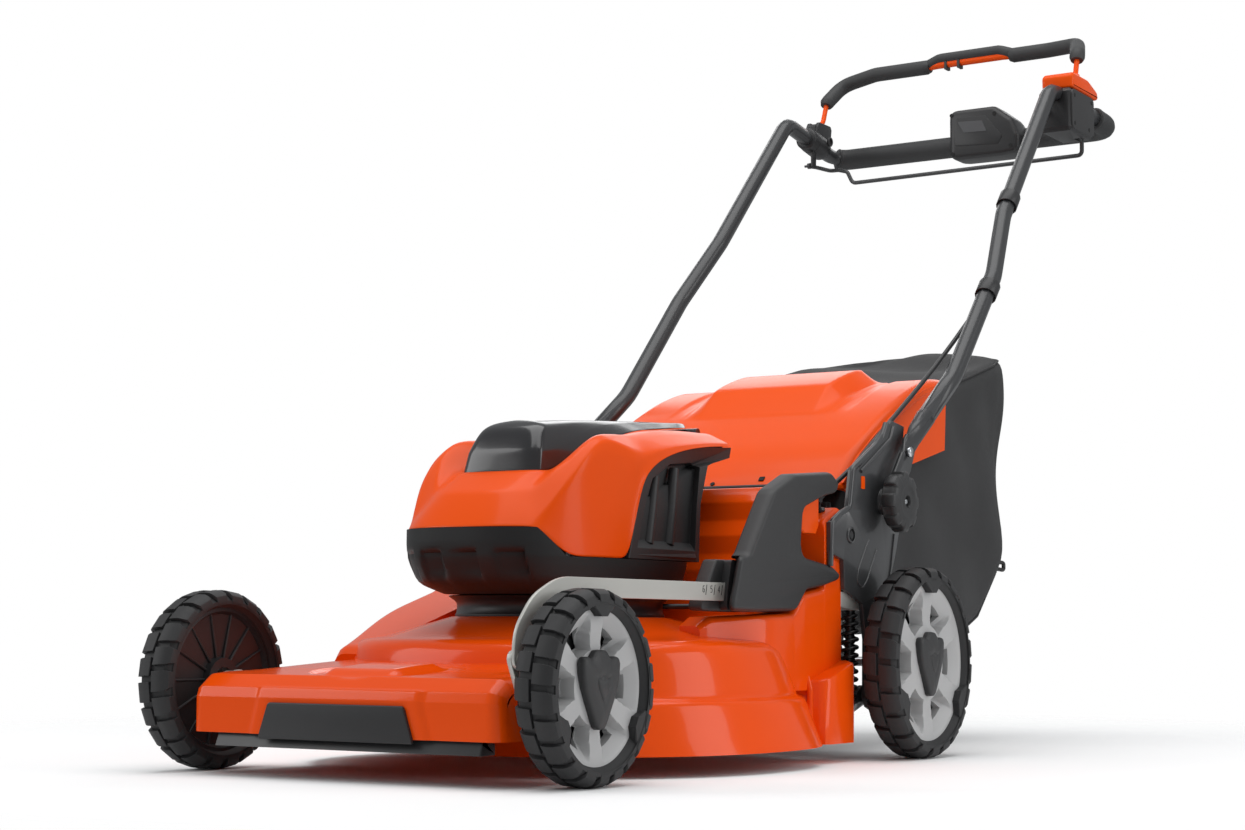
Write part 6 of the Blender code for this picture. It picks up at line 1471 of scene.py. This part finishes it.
def make_drive_bail():
    """The bail: an orange wire with its hub, thick pads that follow the bends, and a palm rest."""
    path = rounded_path([at(*p) for p in BAIL], BAIL_TURNS, 8)
    bm = bmesh.new()
    pipe(bm, path, 0.0042, sides=14)
    pipe(bm, rounded_path([bail_at(0.1), bail_at(0.08, 0.001), bail_at(-0.044, 0.001),
                           bail_at(-0.062)], 0.01), 0.0064, sides=16)
    finish_mesh("drive_bail_rod", bm, "orange_plastic", "drive_bail",
                stands_for=("drive_bail_wire",), angle=60)
    bm = bmesh.new()
    hub = [(1.366, 1.0112), (1.364, 1.031), (1.372, 1.037), (1.436, 1.037), (1.476, 1.025),
           (1.479, 1.012), (1.468, 1.0112)]
    slab(bm, round_outline(hub, [0.004, 0.01, 0.012, 0.02, 0.01, 0.004, 0.004]), 0.2092, 0.2608,
         0.005, 0.005, steps=6)
    pipe(bm, [at(BAIL_X, y, z) for y, z in ((1.421, 1.03), (1.4212, 1.039),
                                            (1.4222, 1.044), (1.4226, 1.0455))],
         [0.0092, 0.0088, 0.008, 0.006], sides=24)
    finish_mesh("drive_bail_hub", bm, "orange_plastic", "drive_bail", angle=40)
    bm = bmesh.new()
    near = [p for p in path if p.x > 0.1 and p.z > 1.067] + [bail_at(0.094)]
    far = [bail_at(-0.056)] + [p for p in path if p.x < -0.1 and p.z > 1.067]
    for line in (near, far):
        pipe(bm, *capped(line, 0.0123), sides=28)
    palm = rounded_path([bail_at(0.1, 0.002), bail_at(0.074, 0.0112), bail_at(-0.038, 0.0112),
                         bail_at(-0.062, 0.002)], 0.016, 6)
    line, radii = capped(palm, 0.0092)
    pipe(bm, line, radii, sides=24)
    for x in (0.0, -0.024):
        spot = bail_at(x, -0.0015)
        y, z = spot.y + CENTRE_Y, spot.z
        slab(bm, [(y - 0.008, z - 0.0078), (y + 0.008, z - 0.0078), (y + 0.008, z + 0.006),
                  (y - 0.008, z + 0.006)], x - 0.0022, x + 0.0022)
    finish_mesh("drive_bail_pads", bm, "pad_rubber", "drive_bail",
                stands_for=("drive_bail_grip",), angle=50)


make_drive_bail()


def make_grip_sleeve():
    """The soft sleeve of the crossbar: it follows the near bend and ends within the far one."""
    run = rounded_path([at(0.2452, 1.496, 0.9883), at(0.25, 1.556, 0.982),
                        at(-0.25, 1.556, 0.982), at(-0.2452, 1.496, 0.9883)], 0.032, 10)
    run = [p for p in run if p.x > -0.2 or p.y + CENTRE_Y > 1.542]
    line, radii = capped(run, 0.0178, 0.006)
    bm = bmesh.new()
    pipe(bm, line, radii, sides=36)
    # A rolled lip at each end.
    for tip, inner in ((0, 1), (-1, -2)):
        along = (line[inner] - line[tip]).normalized()
        pipe(bm, [line[tip] + along * a for a in (0.0004, 0.0014, 0.003, 0.0046, 0.0056)],
             [0.015, 0.0176, 0.0184, 0.0176, 0.015], sides=36)
    finish_mesh("grip_sleeve", bm, "pad_rubber", "handle", stands_for=("grip_pad",), angle=50)


make_grip_sleeve()


def make_bail_mount():
    """The far clamp: a barrel round the tube, two cheeks for the bail and a lug for the wire."""
    x = -BAIL_X
    bm = bmesh.new()
    low, high = Vector((-0.2396, 1.42, 0.9963)), Vector((-0.2449, 1.49, 0.9889))
    along = (high - low).normalized()
    # Each stop along the barrel, with its radius.
    stops = [(0.0, 0.015), (0.0012, 0.0176), (0.0035, 0.019), (0.02, 0.0196), (0.0202, 0.02),
             (0.05, 0.0202), (0.064, 0.0196), (0.0672, 0.018), (0.0688, 0.015)]
    pipe(bm, [at(*(low + along * a)) for a, r in stops], [r for a, r in stops], sides=40)
    cheek = round_outline([(1.448, 1.002), (1.449, 1.022), (1.454, 1.03), (1.496, 1.03),
                           (1.5, 1.024), (1.496, 0.998)],
                          [0.002, 0.008, 0.004, 0.004, 0.004, 0.002])
    for a, b in ((x - 0.0118, x - 0.0054), (x + 0.0054, x + 0.0118)):
        slab(bm, cheek, a, b, 0.0012, 0.0012, steps=4)
    lug = [(1.4345, 0.9465), (1.4345, 0.986), (1.447, 0.986), (1.4455, 0.9465)]
    slab(bm, round_outline(lug, [0.005, 0.002, 0.002, 0.005]), x + 0.0046, x + 0.0096,
         0.0008, 0.0008, steps=3)
    web = [(1.448, 1.004), (1.448, 1.022), (1.454, 1.029), (1.456, 1.004)]
    slab(bm, round_outline(web, 0.002), x - 0.006, x + 0.006)
    finish_mesh("bail_mount_shell", bm, "black_plastic", "handle", stands_for=("bail_mount",),
                angle=40)
    bm = bmesh.new()
    turned(bm, [(0.0, 0.0086), (0.0022, 0.0086), (0.0034, 0.0074), (0.0034, 0.005),
                (0.0004, 0.0046), (0.0002, 0.001)], at(x + 0.0192, 1.476, 0.9985), sides=36)
    finish_mesh("bail_mount_boss", bm, "dark_plastic", "handle", angle=30)


make_bail_mount()


def make_presence_bail():
    """The stop wire: a painted rod with its crank and hooked bends at the far end."""
    x, y, z = BAIL_X, 1.44, 0.952
    knots = [(x, y, z), (x, y + 0.01, z - 0.008), (x - 0.004, y + 0.02, z - 0.03),
             (-0.186, y + 0.05, z - 0.027), (-0.196, y + 0.05, z - 0.006),
             (-0.214, y + 0.052, z - 0.001), (-0.229, y + 0.051, z - 0.001),
             (-0.241, y + 0.033, z + 0.002), (-x, y, z)]
    turns = [0, 0.008, 0.01, 0.012, 0.01, 0.01, 0.014, 0.014, 0]
    line = rounded_path([at(*k) for k in knots], turns, 8)
    bm = bmesh.new()
    pipe(bm, line, 0.0034, sides=18)
    for side in (1, -1):
        pipe(bm, [at(side * x + a, y, z) for a in (-0.0036, -0.003, 0.003, 0.0036)],
             [0.0042, 0.005, 0.005, 0.0042], sides=24)
        pipe(bm, points((side * x - 0.0094, y, z), (side * x + 0.0094, y, z)), 0.0021, sides=14)
    finish_mesh("presence_bail_rod", bm, "tube_paint", "presence_bail",
                stands_for=("presence_bail_wire",), angle=60)


make_presence_bail()


# Cords
TUBE_R, CABLE_R, CABLE_OFF = 0.0127, 0.0032, 0.0016
TUBE_SIDE = [(0.2645, 0.8, 0.441), (0.264, 0.895, 0.507), (0.262, 1.043, 0.668),
             (0.2409, 1.131, 0.772), (0.2335, 1.3405, 1.0046), (0.25, 1.556, 0.982)]


def handle_line():
    return rounded_path([Vector(p) for p in TUBE_SIDE], [0.0, 0.12, 0.1, 0.1, 0.035, 0.0], 7)


def tube_at(place):
    line = handle_line()
    before = [p for p in line if p.y <= place][-1]
    after = line[line.index(before) + 1]
    share = (place - before.y) / (after.y - before.y)
    return before.lerp(after, share), (after - before).normalized()


def beside_tube(centre, along):
    back = along.cross(Vector((1.0, 0.0, 0.0))).normalized()
    back = -back if back.y < 0.0 else back
    aside = (back - Vector((1.0, 0.0, 0.0))).normalized()
    return Vector(centre) + aside * (TUBE_R + CABLE_R + CABLE_OFF)


def make_cord(name, knots, radius):
    """A round cable along its knots."""
    path = rounded_path([at(*k) for k in knots], radius, 8)
    fine = evenly(path, 0.004)
    bm = bmesh.new()
    pipe(bm, fine, CABLE_R, sides=16)
    ob = finish_mesh(name + "_cord", bm, "black_plastic", None,
                     stands_for=(name,), angle=80)
    length = sum((b - a).length for a, b in zip(fine, fine[1:]))
    return ob


def make_cables():
    stud = Vector((0.222, 0.58, 0.314 - 0.012 * 0.018 / 0.044))
    stud_up = Vector((0.0, -0.018, 0.044)).normalized()
    eye_along = Vector((0.0, 0.845, 0.535)).normalized()
    eye = stud + stud_up * 0.0135
    upper, up_along = tube_at(1.152)
    lower, low_along = tube_at(1.02)
    a, b = beside_tube(upper, up_along), beside_tube(lower, low_along)
    top = Vector((0.218, 1.3567, 0.974))
    knots = [top, top - Vector((0, 0.01, 0)),
             beside_tube((0.2345, 1.3, 0.96), up_along) + Vector((-0.003, 0, 0)),
             beside_tube((0.2365, 1.25, 0.904), up_along), a + up_along * 0.025, a,
             a - up_along * 0.02,
             beside_tube((0.2515, 1.087, 0.72), up_along) + Vector((-0.001, 0.001, -0.001)),
             b + low_along * 0.02, b, b - low_along * 0.018,
             (0.237, 0.96, 0.566), (0.2345, 0.9, 0.523), (0.234, 0.83, 0.479),
             (0.232, 0.759, 0.434), (0.228, 0.661, 0.37), eye + eye_along * 0.0163,
             eye + eye_along * 0.0043]
    cable = make_cord("handle_cable", knots, 0.021)
    at(0.228, 0.64, 0.35)
    at(0.234, 0.93, 0.56)
    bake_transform(cable)
    turn = math.radians(21.0)
    radial = Vector((math.cos(turn), math.sin(turn), 0.0))
    end = Vector((0.0, MOTOR_Y, 0.0)) + radial * 0.1263 + Vector((0.0, 0.0, 0.1755 + 0.0125))
    start = eye - eye_along * 0.0043
    knots = [start, start - eye_along * 0.006, (0.213, 0.551, 0.308), (0.205, 0.533, 0.288),
             (0.196, 0.514, 0.255), (0.1945, 0.49, 0.223), (0.1945, 0.466, 0.201),
             (0.188, 0.44, 0.1905), (0.165, 0.412, 0.1885), end + radial * 0.012, end]
    lead = make_cord("motor_lead", knots, 0.016)
    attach(lead, "mower")
    # The cable's exit boss on the control box.
    bm = bmesh.new()
    pipe(bm, [at(0.218, y, 0.974) for y in (1.348, 1.35, 1.353, 1.3568)],
         [0.0042, 0.0054, 0.0058, 0.0064], sides=24)
    finish_mesh("cable_exit_boss", bm, "black_plastic", "handle")


make_cables()


# Helper spring under its bracket
def make_helper_spring():
    bm = bmesh.new()
    top, foot = at(0.2355, 0.637, 0.1857), at(0.2355, 0.632, 0.0748)
    along = (foot - top).normalized()
    side = along.orthogonal().normalized()
    other = along.cross(side)
    turns, path = 11, []
    for k in range(turns * 20 + 1):
        t = k / (turns * 20)
        spread = 0.0092 * min(1.0, 0.55 + 6 * min(t, 1 - t))
        angle = 2 * math.pi * turns * t
        path.append(top.lerp(foot, t) + (side * math.cos(angle) + other * math.sin(angle)) * spread)
    pipe(bm, path, 0.0026, sides=12)
    boot = [top.lerp(foot, k / 40) for k in range(41)]
    pipe(bm, boot, [0.0066 + 0.001 * math.cos(math.pi * k) for k in range(41)], sides=20)
    ob = finish_mesh("helper_spring_coil", bm, "spring_steel", None,
                     stands_for=("helper_spring",), angle=80)
    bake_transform(ob)


make_helper_spring()


# Floor, lights and backdrop
FLOOR_HALF = 14.0


def make_stage():
    bm = bmesh.new()
    v = [bm.verts.new((x * FLOOR_HALF, y * FLOOR_HALF, 0.0))
         for x, y in ((-1, -1), (1, -1), (1, 1), (-1, 1))]
    bm.faces.new(v)
    data = bpy.data.meshes.new("floor")
    bm.to_mesh(data)
    bm.free()
    floor = bpy.data.objects.new("floor", data)
    bpy.context.scene.collection.objects.link(floor)
    made = bpy.data.materials.new("floor_white")
    made.use_nodes = True
    tree = made.node_tree
    shader = next(n for n in tree.nodes if n.type == "BSDF_PRINCIPLED")
    tools = Socket(tree, None)
    place = tools.node("ShaderNodeTexCoord", output="Object")
    cloud = tools.node("ShaderNodeTexNoise", Vector=place, Scale=2.0)
    shader.inputs["Roughness"].default_value = 0.9
    shader.inputs["Specular IOR Level"].default_value = 0.1
    plug(tree, shader.inputs["Base Color"], cloud.mix((0.97, 0.97, 0.97), (1.0, 1.0, 1.0)))
    # The floor runs out into the white backdrop a little way from the machine.
    far = tools.node("ShaderNodeVectorMath", {"operation": "LENGTH"}, output="Value", i0=place)
    fade = ((far - 0.8) / 0.7).clamp()
    clear = tools.node("ShaderNodeBsdfTransparent")
    joined = tools.node("ShaderNodeMixShader", i0=fade, i2=clear)
    tree.links.new(shader.outputs["BSDF"], joined.out.node.inputs[1])
    finish = next(n for n in tree.nodes if n.type == "OUTPUT_MATERIAL")
    tree.links.new(joined.out, finish.inputs["Surface"])
    data.materials.append(made)


def area_light(name, place, aim, width, height, power):
    data = bpy.data.lights.new(name, "AREA")
    data.shape, data.size, data.size_y = "RECTANGLE", width, height
    data.energy = power
    ob = bpy.data.objects.new(name, data)
    turn = (aim - place).to_track_quat("-Z", "Y").to_matrix().to_4x4()
    ob.matrix_world = Matrix.Translation(place) @ turn
    bpy.context.scene.collection.objects.link(ob)
    ob.visible_camera = False


def make_lights():
    middle = Vector((0, 0, 0.35))
    area_light("overhead", Vector((0.2, -0.3, 3.2)), middle, 3.2, 3.2, 69)
    area_light("key_left", Vector((-3.0, -2.6, 1.9)), middle, 2.0, 2.4, 42)
    area_light("side_right", Vector((3.4, 0.8, 1.5)), middle, 1.6, 2.6, 36)
    area_light("rear", Vector((-1.5, 3.4, 2.4)), middle, 3.0, 1.6, 27)
    world = bpy.data.worlds.new("studio")
    world.use_nodes = True
    tree = world.node_tree
    tree.nodes.clear()
    tools = Socket(tree, None)
    ambient = tools.node("ShaderNodeBackground", Color=(0.92, 0.94, 0.96), Strength=0.4)
    backdrop = tools.node("ShaderNodeBackground", Color=(1.0, 1.0, 1.0), Strength=1.0)
    seen = tools.node("ShaderNodeLightPath", output="Is Camera Ray")
    both = tools.node("ShaderNodeMixShader", i0=seen, i1=ambient, i2=backdrop)
    out = tree.nodes.new("ShaderNodeOutputWorld")
    tree.links.new(both.out, out.inputs["Surface"])
    bpy.context.scene.world = world


make_stage()
make_lights()
bpy.context.scene.view_settings.view_transform = "Standard"
